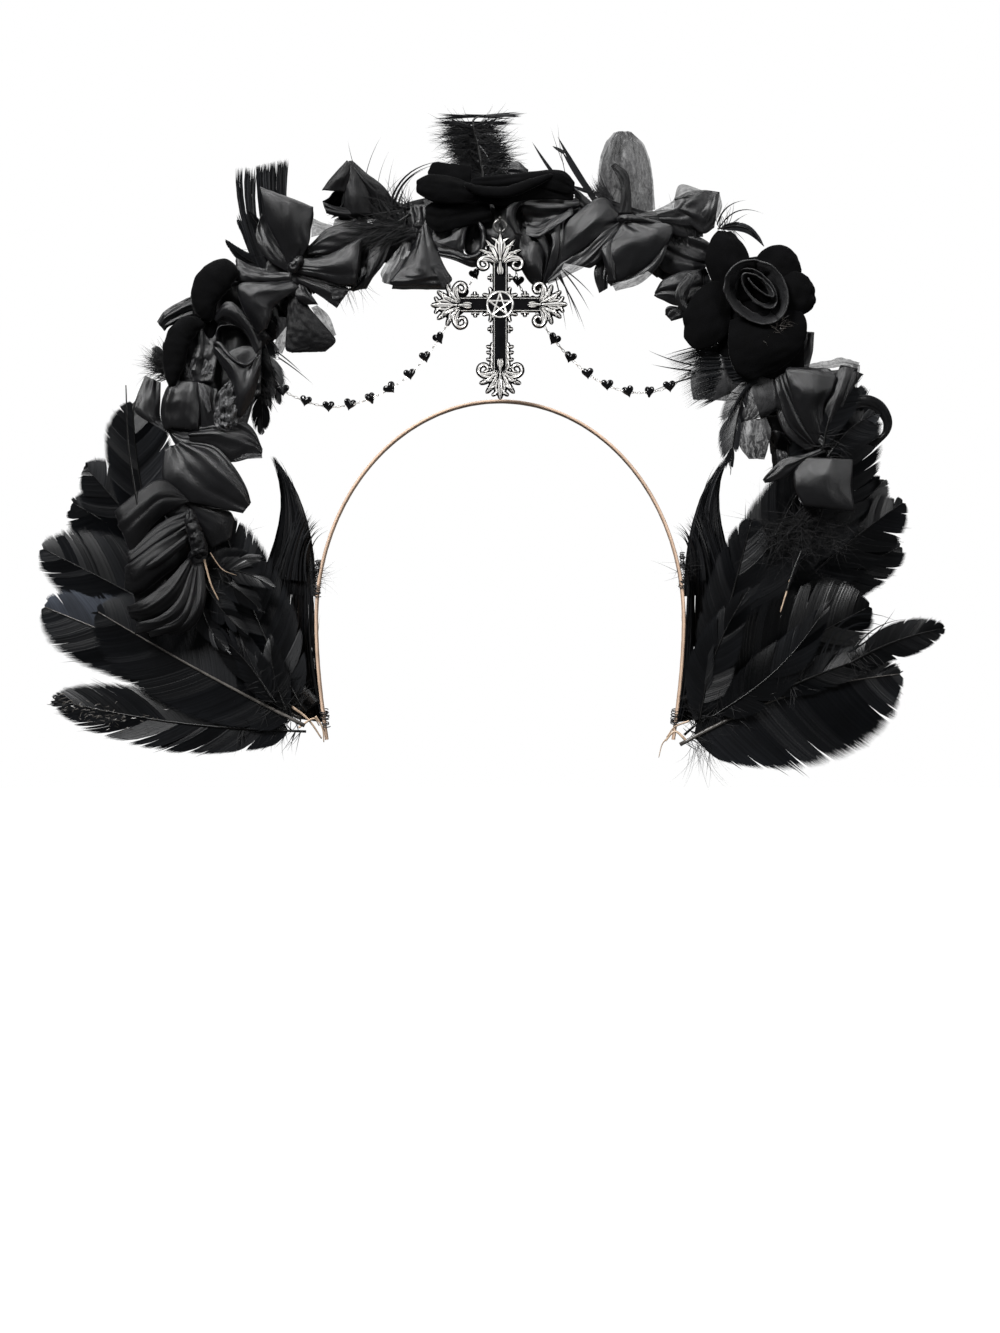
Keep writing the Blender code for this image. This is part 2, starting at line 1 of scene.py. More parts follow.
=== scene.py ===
# %% [markdown]
# # A black halo crown
# This crown is a slim headband with a tall hoop standing over it. Goose feathers fan out like
# wings from the ends of the band, bows, petals and velvet flowers cover the hoop, two swags of
# glass hearts hang inside it, and a silver cross hangs from its top.
# The engineering model gives every place and every moving body. This script dresses it: each
# piece rides on one of its bodies, and stands for the plain solids that it covers.

# %% Load the engineering model
import math

import bmesh
import bpy
import numpy as np
from mathutils import Matrix, Vector, noise


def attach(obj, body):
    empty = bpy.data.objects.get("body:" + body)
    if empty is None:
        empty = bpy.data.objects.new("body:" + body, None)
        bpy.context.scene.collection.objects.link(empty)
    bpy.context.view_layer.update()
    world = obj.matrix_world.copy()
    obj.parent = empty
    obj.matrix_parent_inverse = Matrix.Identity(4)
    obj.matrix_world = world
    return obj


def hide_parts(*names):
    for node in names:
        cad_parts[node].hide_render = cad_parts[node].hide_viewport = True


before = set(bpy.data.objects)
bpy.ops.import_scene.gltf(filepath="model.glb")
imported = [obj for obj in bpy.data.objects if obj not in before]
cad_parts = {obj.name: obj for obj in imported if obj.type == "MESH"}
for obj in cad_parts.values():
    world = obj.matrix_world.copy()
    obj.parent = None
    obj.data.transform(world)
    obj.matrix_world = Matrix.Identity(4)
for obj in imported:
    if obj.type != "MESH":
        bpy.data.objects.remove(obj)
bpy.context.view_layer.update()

MM = 0.001


# %% [markdown]
# ## Camera, floor and light
# The crown is seen level from the front, a little below its own middle, as it is on a shop's
# display. A long lens keeps the wings from swelling at the sides. Everything stands in bright,
# even white, so the floor is a pale sheet far below. The lamps are wide panels from above: on
# black cloth only soft, wide lights draw the folds, and small ones leave hard dots.

# %% Camera
EYE_DISTANCE = 1.8
EYE_HEIGHT = -0.112
VIEW_HEIGHT = 0.5665


def add_item(name, data):
    item = bpy.data.objects.new(name, data)
    bpy.context.scene.collection.objects.link(item)
    return item


camera = add_item("camera", bpy.data.cameras.new("camera"))
camera.location = (0, -EYE_DISTANCE, EYE_HEIGHT)
camera.rotation_euler = (math.pi / 2, 0, 0)
camera.data.lens = camera.data.sensor_width * EYE_DISTANCE / VIEW_HEIGHT
bpy.context.scene.camera = camera
bpy.context.scene.view_settings.view_transform = "Standard"
print("lens", round(camera.data.lens, 1), "mm")


# %% Node helpers
def put(tree, socket, value):
    """Gives a socket its value, or the other socket that feeds it."""
    if isinstance(value, bpy.types.NodeSocket):
        tree.links.new(value, socket)
    else:
        socket.default_value = value


def add_node(tree, kind, inputs=None, **settings):
    """A new node with its settings. inputs are named or numbered: values, or sockets that feed them."""
    made = tree.nodes.new(kind)
    for name, value in settings.items():
        setattr(made, name, value)
    for key, value in (inputs or {}).items():
        put(tree, made.inputs[key], value)
    return made


def math_node(tree, operation, *values):
    return add_node(tree, "ShaderNodeMath", dict(enumerate(values)), operation=operation).outputs[0]


def scaled(tree, vector, factor):
    inputs = {0: vector, "Scale": factor}
    return add_node(tree, "ShaderNodeVectorMath", inputs, operation="SCALE").outputs[0]


def mixed(tree, share, low, high):
    return add_node(tree, "ShaderNodeMix", {0: share, 6: low, 7: high}, data_type="RGBA").outputs[2]


def camera_ray(tree):
    return add_node(tree, "ShaderNodeLightPath").outputs["Is Camera Ray"]


def feed(made, **values):
    """Sets or links inputs of a material's main shader. Spaces in their names are underscores."""
    tree = made.node_tree
    for name, value in values.items():
        put(tree, tree.nodes["Principled BSDF"].inputs[name.replace("_", " ")], value)


def new_material(name, **values):
    made = bpy.data.materials.new(name)
    made.use_nodes = True
    feed(made, **values)
    return made, made.node_tree


# %% Floor and world
# The floor looks pale, and gives little light back, as when black cards lie below a display.
FLOOR_Z = -0.335
FLOOR_RADIUS = 6
FLOOR_GLOW = 0.85
FLOOR_SHADES = ((0.06, 0.06, 0.06, 1), (0.9, 0.9, 0.9, 1))
SKY_STRENGTH = 0.33
SKY_STOPS = ((0.55, (0.05, 0.05, 0.055, 1)), (0.95, (0.9, 0.9, 0.9, 1)))
WHITE = (1, 1, 1, 1)

paper, tree = new_material("pale_paper", Roughness=0.9, Specular_IOR_Level=0.1, Emission_Color=WHITE)
feed(
    paper,
    Emission_Strength=math_node(tree, "MULTIPLY", camera_ray(tree), FLOOR_GLOW),
    Base_Color=mixed(tree, camera_ray(tree), *FLOOR_SHADES),
)
bpy.ops.mesh.primitive_circle_add(
    vertices=96, radius=FLOOR_RADIUS, fill_type="NGON", location=(0, 0, FLOOR_Z)
)
floor = bpy.context.object
floor.name = "floor"
floor.data.materials.append(paper)

world = bpy.data.worlds.new("studio")
bpy.context.scene.world = world
world.use_nodes = True
tree = world.node_tree
direction = add_node(tree, "ShaderNodeTexCoord").outputs["Generated"]
up = add_node(tree, "ShaderNodeSeparateXYZ", {0: direction}).outputs["Z"]
share = add_node(tree, "ShaderNodeMapRange", {"Value": up, "From Min": -1}).outputs["Result"]
ramp = add_node(tree, "ShaderNodeValToRGB", {"Fac": share})
for stop, (place, colour) in zip(ramp.color_ramp.elements, SKY_STOPS):
    stop.position, stop.color = place, colour
sky = scaled(tree, ramp.outputs["Color"], SKY_STRENGTH)
put(tree, tree.nodes["Background"].inputs["Color"], mixed(tree, camera_ray(tree), sky, WHITE))


# %% Lamps
def panel(name, place, aim, size, power):
    lamp = bpy.data.lights.new(name, "AREA")
    lamp.shape = "RECTANGLE"
    lamp.size, lamp.size_y = size
    lamp.energy = power
    item = add_item(name, lamp)
    item.location = place
    item.rotation_euler = (Vector(aim) - Vector(place)).to_track_quat("-Z", "Y").to_euler()


panel("key_panel", (-0.9, -1.3, 1.3), (0, 0, 0), (0.7, 0.7), 80)
panel("fill_panel", (1.3, -1.1, 0.7), (0, 0, -0.03), (0.3, 1.0), 15)
panel("top_panel", (0.1, 0.35, 1.3), (0, 0, 0), (1.4, 0.8), 19)


# %% [markdown]
# ## Shared shader groups
# Two effects come back in many finishes. Woven cloth shows fine crossing threads, which follow
# the cloth's own grain, so that group reads the piece's UV map, laid out in metres. Black things
# look dead when they are one even tone, so the second group gives slow clouds of tone in space.

# %% Shader helpers
def group(name, inputs, outputs):
    """An empty shader group with named sockets: (name, default) going in, names coming out."""
    tree = bpy.data.node_groups.new(name, "ShaderNodeTree")
    for title, value in inputs:
        socket = tree.interface.new_socket(title, in_out="INPUT", socket_type="NodeSocketFloat")
        socket.default_value = value
    for title in outputs:
        tree.interface.new_socket(title, in_out="OUTPUT", socket_type="NodeSocketFloat")
    return tree, tree.nodes.new("NodeGroupInput").outputs, tree.nodes.new("NodeGroupOutput").inputs


def noise_node(tree, vector, scale, detail):
    inputs = {"Vector": vector, "Scale": scale, "Detail": detail, "Roughness": 0.5}
    return add_node(tree, "ShaderNodeTexNoise", inputs).outputs["Fac"]


# %% Weave: crossing threads along the cloth's own grain
DRIFT_SCALE = 160.0
STREAK_SCALE = 1400.0
STREAK_STRETCH = 0.04
weave, given, result = group(
    "weave",
    [("Threads per metre", 2500.0), ("Slub", 0.35), ("Cross", 1.0), ("Wander", 0.0)],
    ["Height", "Streak"],
)
grain = add_node(weave, "ShaderNodeUVMap", uv_map="cloth").outputs["UV"]
drift = add_node(weave, "ShaderNodeTexNoise", {"Scale": DRIFT_SCALE, "Vector": grain}).outputs["Color"]
shift = scaled(weave, drift, given["Wander"])
coords = add_node(weave, "ShaderNodeVectorMath", {0: grain, 1: shift}).outputs[0]
axes = add_node(weave, "ShaderNodeSeparateXYZ", {0: coords}).outputs
turns = math_node(weave, "MULTIPLY", given["Threads per metre"], 2 * math.pi)
waves = [math_node(weave, "SINE", math_node(weave, "MULTIPLY", axes[k], turns)) for k in "XY"]
put(weave, result["Height"], math_node(weave, "MULTIPLY", *waves))


def streaks(*stretch):
    """Fine noise around zero, drawn out along the axis that is stretched."""
    drawn = add_node(weave, "ShaderNodeMapping", {"Scale": stretch, "Vector": coords}).outputs[0]
    return math_node(weave, "SUBTRACT", noise_node(weave, drawn, STREAK_SCALE, 2.0), 0.5)


across = math_node(weave, "MULTIPLY", streaks(STREAK_STRETCH, 1, 1), given["Cross"])
both = math_node(weave, "ADD", streaks(1, STREAK_STRETCH, 1), across)
put(weave, result["Streak"], math_node(weave, "MULTIPLY", both, given["Slub"]))

# %% Clouds: slow changes of tone through space
clouds, given, result = group(
    "clouds", [("Size in metres", 0.02), ("Low", 0.8), ("High", 1.2)], ["Tone"]
)
coords = add_node(clouds, "ShaderNodeTexCoord").outputs["Object"]
scale = math_node(clouds, "DIVIDE", 1.0, given["Size in metres"])
ends = {"From Min": 0.3, "From Max": 0.7, "To Min": given["Low"], "To Max": given["High"]}
value = noise_node(clouds, coords, scale, 4.0)
spread = add_node(clouds, "ShaderNodeMapRange", {"Value": value, **ends}).outputs["Result"]
put(clouds, result["Tone"], spread)


# %% Putting a group and a tinted colour in a material
def use(tree, shared, **values):
    """The outputs of a shared group, with its values by name."""
    values = {name.replace("_", " "): value for name, value in values.items()}
    made = add_node(tree, "ShaderNodeGroup", node_tree=shared)
    for name, value in values.items():
        put(tree, made.inputs[name], value)
    return made.outputs


def cloud_tone(tree, size, low, high):
    return use(tree, clouds, Size_in_metres=size, Low=low, High=high)["Tone"]


def sum_node(tree, value, gain, rest):
    return math_node(tree, "MULTIPLY_ADD", value, gain, rest)


def bumped(made, height, strength, distance):
    inputs = {"Strength": strength, "Distance": distance, "Height": height}
    feed(made, Normal=add_node(made.node_tree, "ShaderNodeBump", inputs).outputs["Normal"])


# %% [markdown]
# ## Finishes
# Satin has a smooth face of long floats, so it is dark between broad, bright folds. Organza is a
# sheer plain weave: its gaps are holes, so alpha follows the threads. Velvet drinks light and
# glows only at its rims, which is what sheen does. Feather barbs are glossy along their length.

# %% Satin
BUMP_DEPTH = 0.1 * MM


def make_satin(name, colour, roughness, slub, shine):
    made, tree = new_material(
        name, Specular_IOR_Level=shine, Anisotropic=0.45, Sheen_Weight=0.04, Sheen_Roughness=0.35,
        Sheen_Tint=(0.55, 0.56, 0.6, 1),
    )
    threads = use(tree, weave, Threads_per_metre=3600.0, Slub=slub)
    streak = threads["Streak"]
    tone = math_node(tree, "ADD", cloud_tone(tree, 0.012, 0.75, 1.3), streak)
    feed(made, Base_Color=scaled(tree, colour, tone), Roughness=sum_node(tree, streak, 0.25, roughness))
    bumped(made, sum_node(tree, streak, 1.5, threads["Height"]), 0.25, BUMP_DEPTH)
    return made


black_satin = make_satin("black_satin", (0.0040, 0.0040, 0.0046), 0.34, 0.3, 0.42)
dull_satin = make_satin("dull_satin", (0.0024, 0.0024, 0.0028), 0.44, 0.25, 0.24)


# %% Organza, chiffon and gauze
def make_sheer(name, colour, cover, spread):
    """Sheer cloth that lets light through between its threads. cover is its mean alpha."""
    made, tree = new_material(name, Roughness=0.45, Specular_IOR_Level=0.4, Sheen_Weight=0.03)
    streak = use(tree, weave, Threads_per_metre=2400.0, Slub=1.3, Cross=0.25, Wander=0.006)["Streak"]
    alpha = sum_node(tree, streak, 0.55, cover)
    alpha = math_node(tree, "ADD", alpha, cloud_tone(tree, 0.008, -spread, spread))
    clamp = add_node(tree, "ShaderNodeClamp", {"Value": alpha}).outputs["Result"]
    feed(made, Base_Color=scaled(tree, colour, sum_node(tree, streak, 0.8, 1.0)), Alpha=clamp)
    bumped(made, streak, 0.3, BUMP_DEPTH)
    return made


organza = make_sheer("organza", (0.009, 0.009, 0.0098), 0.70, 0.10)
crackle_sheer = make_sheer("crackle_sheer", (0.045, 0.045, 0.047), 0.82, 0.10)
chiffon = make_sheer("chiffon", (0.008, 0.008, 0.0088), 0.95, 0.04)
gauze = make_sheer("gauze", (0.015, 0.015, 0.016), 0.93, 0.03)


# %% Ribbon on the band and tape on the hoop
def make_woven(name, colour, roughness, threads_per_metre):
    made, tree = new_material(name)
    threads = use(tree, weave, Threads_per_metre=threads_per_metre, Slub=0.5)
    tone = sum_node(tree, threads["Streak"], 0.5, cloud_tone(tree, 0.01, 0.85, 1.12))
    rough = sum_node(tree, threads["Streak"], 0.2, roughness)
    feed(made, Base_Color=scaled(tree, colour, tone), Roughness=rough)
    bumped(made, threads["Height"], 0.3, BUMP_DEPTH)
    return made


nude_ribbon = make_woven("nude_ribbon", (0.52, 0.37, 0.27), 0.5, 1800.0)
black_tape = make_woven("black_tape", (0.010, 0.010, 0.011), 0.3, 2200.0)


# %% Feather vanes and down
def attribute(tree, name):
    return add_node(tree, "ShaderNodeAttribute", attribute_name=name).outputs["Fac"]


def make_barb(name, colour, tip_colour, roughness):
    """Barbs: each has its own tone, and pales from its quill to its tip."""
    made, tree = new_material(name, Specular_IOR_Level=0.24)
    own = attribute(tree, "tone")
    paling = math_node(tree, "POWER", attribute(tree, "along"), 3.0)
    tint = mixed(tree, paling, (*colour, 1), (*tip_colour, 1))
    tone = math_node(tree, "MULTIPLY", own, cloud_tone(tree, 0.015, 0.7, 1.3))
    feed(made, Base_Color=scaled(tree, tint, tone), Roughness=sum_node(tree, own, 0.12, roughness))
    return made


vane_black = make_barb("vane_black", (0.0022, 0.0025, 0.0032), (0.0042, 0.0048, 0.006), 0.27)
down_black = make_barb("down_black", (0.003, 0.003, 0.0034), (0.006, 0.006, 0.0066), 0.6)


# %% Velvet, quills, thread, silver, enamel and glass
def make_clouded(name, colour, clouding, roughness, relief=False, **values):
    """One colour in slow clouds (size, low, high). Its roughness is gain times tone plus rest."""
    made, tree = new_material(name, **values)
    cloud = tone = cloud_tone(tree, *clouding)
    # relief darkens the silver's hollows: partly tarnish, partly painted shade.
    if relief:
        tone = math_node(tree, "MULTIPLY", attribute(tree, "relief"), cloud)
    feed(made, Base_Color=scaled(tree, colour, tone), Roughness=sum_node(tree, cloud, *roughness))
    return made


velvet = make_clouded(
    "black_velvet", (0.0013, 0.0013, 0.0015), (0.006, 0.5, 1.6), (0.08, 0.82),
    Specular_IOR_Level=0.06, Sheen_Weight=0.045, Sheen_Roughness=0.3,
)
pile = add_node(velvet.node_tree, "ShaderNodeTexCoord").outputs["Object"]
bumped(velvet, noise_node(velvet.node_tree, pile, 2600.0, 2.0), 0.5, 3 * BUMP_DEPTH)
quill_black = make_clouded(
    "quill_black", (0.005, 0.005, 0.005), (0.004, 0.7, 1.4), (0.1, 0.2), Specular_IOR_Level=0.3
)
# quill_grey is a paler grey. It paints the highlight along some quills and glints on a worn feather
# edge, and is also the colour of lint.
quill_grey = make_clouded("quill_grey", (0.06, 0.055, 0.05), (0.004, 0.6, 1.4), (0.1, 0.2))
quill_bare = make_clouded("quill_bare", (0.42, 0.31, 0.22), (0.003, 0.65, 1.25), (0.1, 0.3))
black_thread = make_clouded("black_thread", (0.01, 0.01, 0.011), (0.002, 0.5, 1.5), (0.1, 0.5))
silver = make_clouded(
    "silver", (0.97, 0.955, 0.93), (0.0016, 0.82, 1.15), (-0.2, 0.4), relief=True, Metallic=0.55
)
enamel = make_clouded(
    "black_enamel", (0.004, 0.004, 0.0045), (0.003, 0.8, 1.2), (0.06, 0.08),
    Coat_Weight=0.6, Coat_Roughness=0.05,
)
black_glass = make_clouded(
    "black_glass", (0.003, 0.003, 0.0035), (0.002, 0.7, 1.3), (0.05, 0.08),
    Specular_IOR_Level=0.3, Coat_Weight=0.15, Coat_Roughness=0.03,
)
print(len(bpy.data.materials), "finishes")


# %% [markdown]
# ## Barbs, down and bristles
# A feather's vane is hundreds of barbs, each a thin curved blade that leaves the quill at an
# angle. Drawing them by hand is hopeless, and a flat sheet with a picture of barbs would not
# split or fray at its edge. So one Geometry Nodes tree grows a blade on every point of a mesh:
# the point's own attributes say which way the blade sets out, how it bends and curls, and how
# wide it is. The same tree makes vanes, down, plume and stray hairs.

# %% Node helpers for Geometry Nodes
def new_tree(name, inputs, output):
    """An empty tree, its inputs by name, each with its kind, and the socket it ends in."""
    tree = bpy.data.node_groups.new(name, "GeometryNodeTree")
    for title, kind in inputs.items():
        tree.interface.new_socket(title, in_out="INPUT", socket_type=f"NodeSocket{kind}")
    tree.interface.new_socket(output, in_out="OUTPUT", socket_type="NodeSocketGeometry")
    return tree, tree.nodes.new("NodeGroupInput").outputs, tree.nodes.new("NodeGroupOutput").inputs[0]


def geo_node(tree, kind, inputs):
    """The first output of a new Geometry Nodes node."""
    return add_node(tree, f"GeometryNode{kind}", inputs).outputs[0]


def named(tree, name, kind="FLOAT_VECTOR"):
    read = add_node(tree, "GeometryNodeInputNamedAttribute", {"Name": name}, data_type=kind)
    return read.outputs["Attribute"]


def added(tree, first, second):
    return add_node(tree, "ShaderNodeVectorMath", {0: first, 1: second}).outputs[0]


# %% The tree that grows blades
def strand_tree():
    inputs = {"Roots": "Geometry", "Pieces": "Int", "Taper": "Float", "Material": "Material"}
    tree, given, out = new_tree("grow_strands", inputs, "Strands")
    rows = math_node(tree, "ADD", given["Pieces"], 1)
    blade = geo_node(tree, "MeshGrid", {"Vertices X": rows, "Vertices Y": 2})
    place = add_node(tree, "GeometryNodeInputPosition").outputs[0]
    axes = add_node(tree, "ShaderNodeSeparateXYZ", {0: place}).outputs
    marks = {
        "along": math_node(tree, "ADD", axes["X"], 0.5),
        "side": math_node(tree, "MULTIPLY", axes["Y"], 2.0),
    }
    for name, value in marks.items():
        blade = geo_node(tree, "StoreNamedAttribute", {"Geometry": blade, "Name": name, "Value": value})
    copies = geo_node(tree, "InstanceOnPoints", {"Points": given["Roots"], "Instance": blade})
    real = geo_node(tree, "RealizeInstances", {"Geometry": copies})
    # place = root + aim a + bend a^2 + curl a^3 + flat side (1 + swell a)(1 - a^taper)
    a = named(tree, "along", "FLOAT")
    place = named(tree, "root")
    for name, power in (("aim", 1.0), ("bend", 2.0), ("curl", 3.0)):
        term = scaled(tree, named(tree, name), math_node(tree, "POWER", a, power))
        place = added(tree, place, term)
    narrow = math_node(tree, "SUBTRACT", 1.0, math_node(tree, "POWER", a, given["Taper"]))
    swell = sum_node(tree, named(tree, "swell", "FLOAT"), a, 1.0)
    width = math_node(tree, "MULTIPLY", narrow, swell)
    width = math_node(tree, "MULTIPLY", width, named(tree, "side", "FLOAT"))
    place = added(tree, place, scaled(tree, named(tree, "flat"), width))
    moved = geo_node(tree, "SetPosition", {"Geometry": real, "Position": place})
    smooth = geo_node(tree, "SetShadeSmooth", {"Geometry": moved})
    finish = geo_node(tree, "SetMaterial", {"Geometry": smooth, "Material": given["Material"]})
    put(tree, out, finish)
    return tree


GROW = strand_tree()
KEPT_ATTRIBUTES = ("along", "tone")


# %% From seeds to a plain mesh
def run_tree(name, points, tree, values, kept=()):
    """The plain mesh object that a tree makes from points: their places and other attributes."""
    cloud = bpy.data.meshes.new(name)
    cloud.from_pydata([tuple(p) for p in points["root"]], [], [])
    for key, rows in points.items():
        rows = np.asarray(rows, float)
        kind, field = ("FLOAT_VECTOR", "vector") if rows.ndim == 2 else ("FLOAT", "value")
        cloud.attributes.new(key, kind, "POINT").data.foreach_set(field, rows.ravel())
    item = add_item(name, cloud)
    run = item.modifiers.new(tree.name, "NODES")
    run.node_group = tree
    for socket in tree.interface.items_tree:
        if socket.in_out == "INPUT" and socket.name in values:
            run[socket.identifier] = values[socket.name]
    item.update_tag()
    graph = bpy.context.evaluated_depsgraph_get()
    made = bpy.data.meshes.new_from_object(item.evaluated_get(graph))
    bpy.data.objects.remove(item)
    for key in (*points, "side"):
        if key in made.attributes and key not in kept:
            made.attributes.remove(made.attributes[key])
    return add_item(name, made)


def grow(name, seeds, pieces, taper, material):
    """Strands from seeds: a dict of arrays, one row for each strand."""
    values = {"Pieces": pieces, "Taper": taper, "Material": material}
    return run_tree(name, seeds, GROW, values, KEPT_ATTRIBUTES)


def mix_seeds(*parts):
    return {key: np.concatenate([p[key] for p in parts]) for key in parts[0]}


def join_pieces(name, items):
    """One mesh object from several, which keeps their materials and attributes."""
    if len(items) > 1:
        with bpy.context.temp_override(
            active_object=items[0], object=items[0], selected_objects=items,
            selected_editable_objects=items,
        ):
            bpy.ops.object.join()
    items[0].name = name
    return items[0]


def dress(piece, nodes, body="crown"):
    """Ties a finished piece to its body and to the solids that it stands for."""
    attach(piece, body)
    if nodes:
        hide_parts(*nodes)
    piece.data.calc_loop_triangles()
    print(piece.name, len(piece.data.loop_triangles), "triangles")


# %% [markdown]
# ## A goose feather
# The quill runs from base to tip in a shallow bow. Each barb leaves it at a steep angle and turns
# towards the tip, and all the barb ends together draw the feather's outline. Handling unzips a
# vane into tongues: barbs of one tongue lean together to a common point, and a gap opens beside
# it. That is why the outline here is drawn by groups of barbs and not by one smooth edge.

# %% The sweep of the wings and the quill's line
WING_START = 75 * MM
WING_SWEEP = 1.0
FORWARD = np.array([0, 1.0, 0])


def swept(x):
    """How far back a feather lies: more and more towards the tips of the wings."""
    return WING_SWEEP * np.maximum(0, np.abs(x) - WING_START) ** 2


def unit(v):
    return v / np.maximum(np.linalg.norm(v, axis=-1, keepdims=True), 1e-12)


def smooth_line(points, t):
    """Places on a smooth curve through points. A whole number t is one of the points."""
    points = np.concatenate([[2 * points[0] - points[1]], points, [2 * points[-1] - points[-2]]])
    i = np.clip(np.floor(t).astype(int), 0, len(points) - 4)
    f = (t - i)[:, None]
    a, b, c, d = points[i], points[i + 1], points[i + 2], points[i + 3]
    square, cube = 2 * a - 5 * b + 4 * c - d, 3 * b - a - 3 * c + d
    return 0.5 * (2 * b + (c - a) * f + square * f**2 + cube * f**3)


def curve_through(points, steps):
    """Even steps on a smooth curve through points in millimetres."""
    points = np.array(points) * MM
    return smooth_line(points, np.linspace(0, len(points) - 1, steps))


class Quill:
    """The bowed line of a feather: places, directions and sides along it. Sizes in metres."""

    def __init__(self, base, tip, bow):
        self.base, self.run, self.bow = base, tip - base, bow
        self.length = float(np.linalg.norm(self.run))
        flat = unit(self.run * [1, 0, 1])
        self.side = np.array([-flat[2], 0, flat[0]])

    def at(self, u):
        u = np.atleast_1d(u)[:, None]
        p = self.base + self.run * u + self.side * self.bow * np.sin(np.pi * u)
        p[:, 1] += swept(p[:, 0])
        return p

    def heading(self, u):
        return unit(self.at(u + 0.01) - self.at(u - 0.01))

    def sideways(self, u):
        h = self.heading(u)
        return unit(np.stack([-h[:, 2], 0 * h[:, 0], h[:, 0]], axis=1))


def face_outwards(mesh, merge=0.0):
    """Turns the normals of a closed mesh outwards, once its doubled points are merged."""
    shape = bmesh.new()
    shape.from_mesh(mesh)
    if merge:
        bmesh.ops.remove_doubles(shape, verts=shape.verts, dist=merge)
    bmesh.ops.recalc_face_normals(shape, faces=shape.faces)
    shape.to_mesh(mesh)
    shape.free()


def tube(name, line, radii, material, around=8):
    """A closed round tube along a line of points, with a radius at each."""
    line = np.asarray(line, float)
    heads = unit(np.gradient(line, axis=0))
    up = unit(np.cross(heads, [0.12, 1.0, 0.07]))
    out = np.cross(up, heads)
    turn = np.linspace(0, 2 * np.pi, around, endpoint=False)
    spokes = np.cos(turn)[:, None] * up[:, None] + np.sin(turn)[:, None] * out[:, None]
    points = line[:, None] + radii[:, None, None] * spokes
    caps = [tuple(reversed(range(around))), tuple(range((len(line) - 1) * around, len(line) * around))]
    mesh = bpy.data.meshes.new(name)
    faces = [tuple(f) for f in grid_faces(len(line), around, True).tolist()]
    mesh.from_pydata([tuple(p) for p in points.reshape(-1, 3)], [], faces + caps)
    face_outwards(mesh)
    mesh.shade_smooth()
    mesh.materials.append(material)
    return add_item(name, mesh)


def grid_faces(deep, wide, closed):
    """Quads between neighbouring rings or rows, as corner numbers."""
    i, j = np.meshgrid(np.arange(deep - 1), np.arange(wide - 1 + closed), indexing="ij")
    low, high = i * wide, (i + 1) * wide
    after = (j + 1) % wide
    return np.stack([low + j, low + after, high + after, high + j], -1).reshape(-1, 4)


# %% The vane
BARB_SPACING = 0.36 * MM
LAST_BARB = 0.985
VANE_WAVE = (0.022, 0.0016)
TONGUE_BARBS = (9, 46)


def outline(v, fullness, blunt):
    """Half width of a vane as a share, from its base at 0 to its tip at 1."""
    low = np.sin(np.pi / 2 * np.clip(v / fullness, 0, 1)) ** 0.75
    high = (1 - np.clip((v - fullness) / (1 - fullness), 0, 1) ** blunt) ** (1 / blunt)
    return np.where(v < fullness, low, high)


def ripple(places, size, height):
    """A slow, smooth rise and fall over the given places."""
    return height * np.array([noise.noise(Vector(p) / size) for p in places])


def tongues(rng, count, shortest, longest):
    """The tongue that each barb belongs to, and the barb in its middle."""
    owner, middle = np.zeros(count, int), np.zeros(count, int)
    start, number = 0, 0
    while start < count:
        stop = min(count, start + int(rng.integers(shortest, longest + 1)))
        owner[start:stop] = number
        middle[start:stop] = (start + stop - (stop == count)) // 2
        start, number = stop, number + 1
    return owner, middle


def half_vane(rng, quill, sign, width, fullness, blunt, barbs, rag, cup, tone, cover):
    """Seeds of the barbs on one side of a quill. sign is 1 for its left, seen from the front."""
    u = np.linspace(0.07, LAST_BARB, barbs)
    v = 1 - (1 - u) ** 1.8
    root = quill.at(u)
    reach = width * outline(v, fullness, blunt)
    end = quill.at(v) + quill.sideways(v) * (sign * reach)[:, None]
    end[:, 1] += cup * (reach / width) ** 2
    end[:, 1] += ripple(end, *VANE_WAVE)
    apart = np.gradient(end, axis=0)
    owner, middle = tongues(rng, barbs, *TONGUE_BARBS)
    groups = owner.max() + 1

    def by_tongue(values):
        return values[owner]

    torn = rng.random(groups) < 0.22 * rag
    gather = by_tongue(np.where(torn, rng.uniform(0.25, 0.55, groups), rng.uniform(0, 0.08, groups)))
    lag = by_tongue(rng.normal(0, 0.0009, groups)) * rag
    inside = np.abs(np.arange(barbs) - middle) / np.maximum(1, by_tongue(np.bincount(owner)) / 2)
    shorter = 1 - (by_tongue(rng.uniform(0, 0.04, groups)) + 0.03 * inside**2) * rag
    drift = by_tongue(rng.normal(0, 0.0005, groups)) * rag
    loose = np.where(rng.random(barbs) < 0.05 * rag, rng.uniform(1.0, 1.14, barbs), 1.0)
    chord = (end - root) * (shorter * loose * rng.uniform(0.98, 1.01, barbs))[:, None]
    chord[:, 1] += drift + rng.normal(0, 0.00005, barbs)
    pull = (end[middle] - end) * np.minimum(1, gather * rag)[:, None]
    pull = pull + quill.heading(v) * lag[:, None]
    size = np.linalg.norm(chord, axis=1, keepdims=True)
    aim = chord + quill.sideways(u) * sign * size * 0.16 - quill.heading(u) * size * 0.1
    aim[:, 1] -= 0.06 * size[:, 0]
    across = unit(np.cross(unit(chord), FORWARD))
    across *= np.sign((across * quill.heading(u)).sum(1, keepdims=True))
    near = quill.length * (u[1] - u[0]) * np.abs((across * quill.heading(u)).sum(1))
    far = np.abs((apart * across).sum(1))
    half = 0.5 * cover * np.maximum(near, 0.00012)
    across[:, 1] += by_tongue(rng.normal(-0.12, 0.24, groups)) + rng.normal(0, 0.07, barbs)
    return {
        "root": root,
        "aim": aim,
        "bend": chord - aim,
        "curl": pull,
        "flat": across * half[:, None],
        "swell": np.clip(far / np.maximum(near, 1e-6) - 1, -0.3, 5.0),
        "tone": rng.uniform(0.8, 1.25, barbs) * by_tongue(rng.uniform(0.6, 1.5, groups)) * tone,
    }


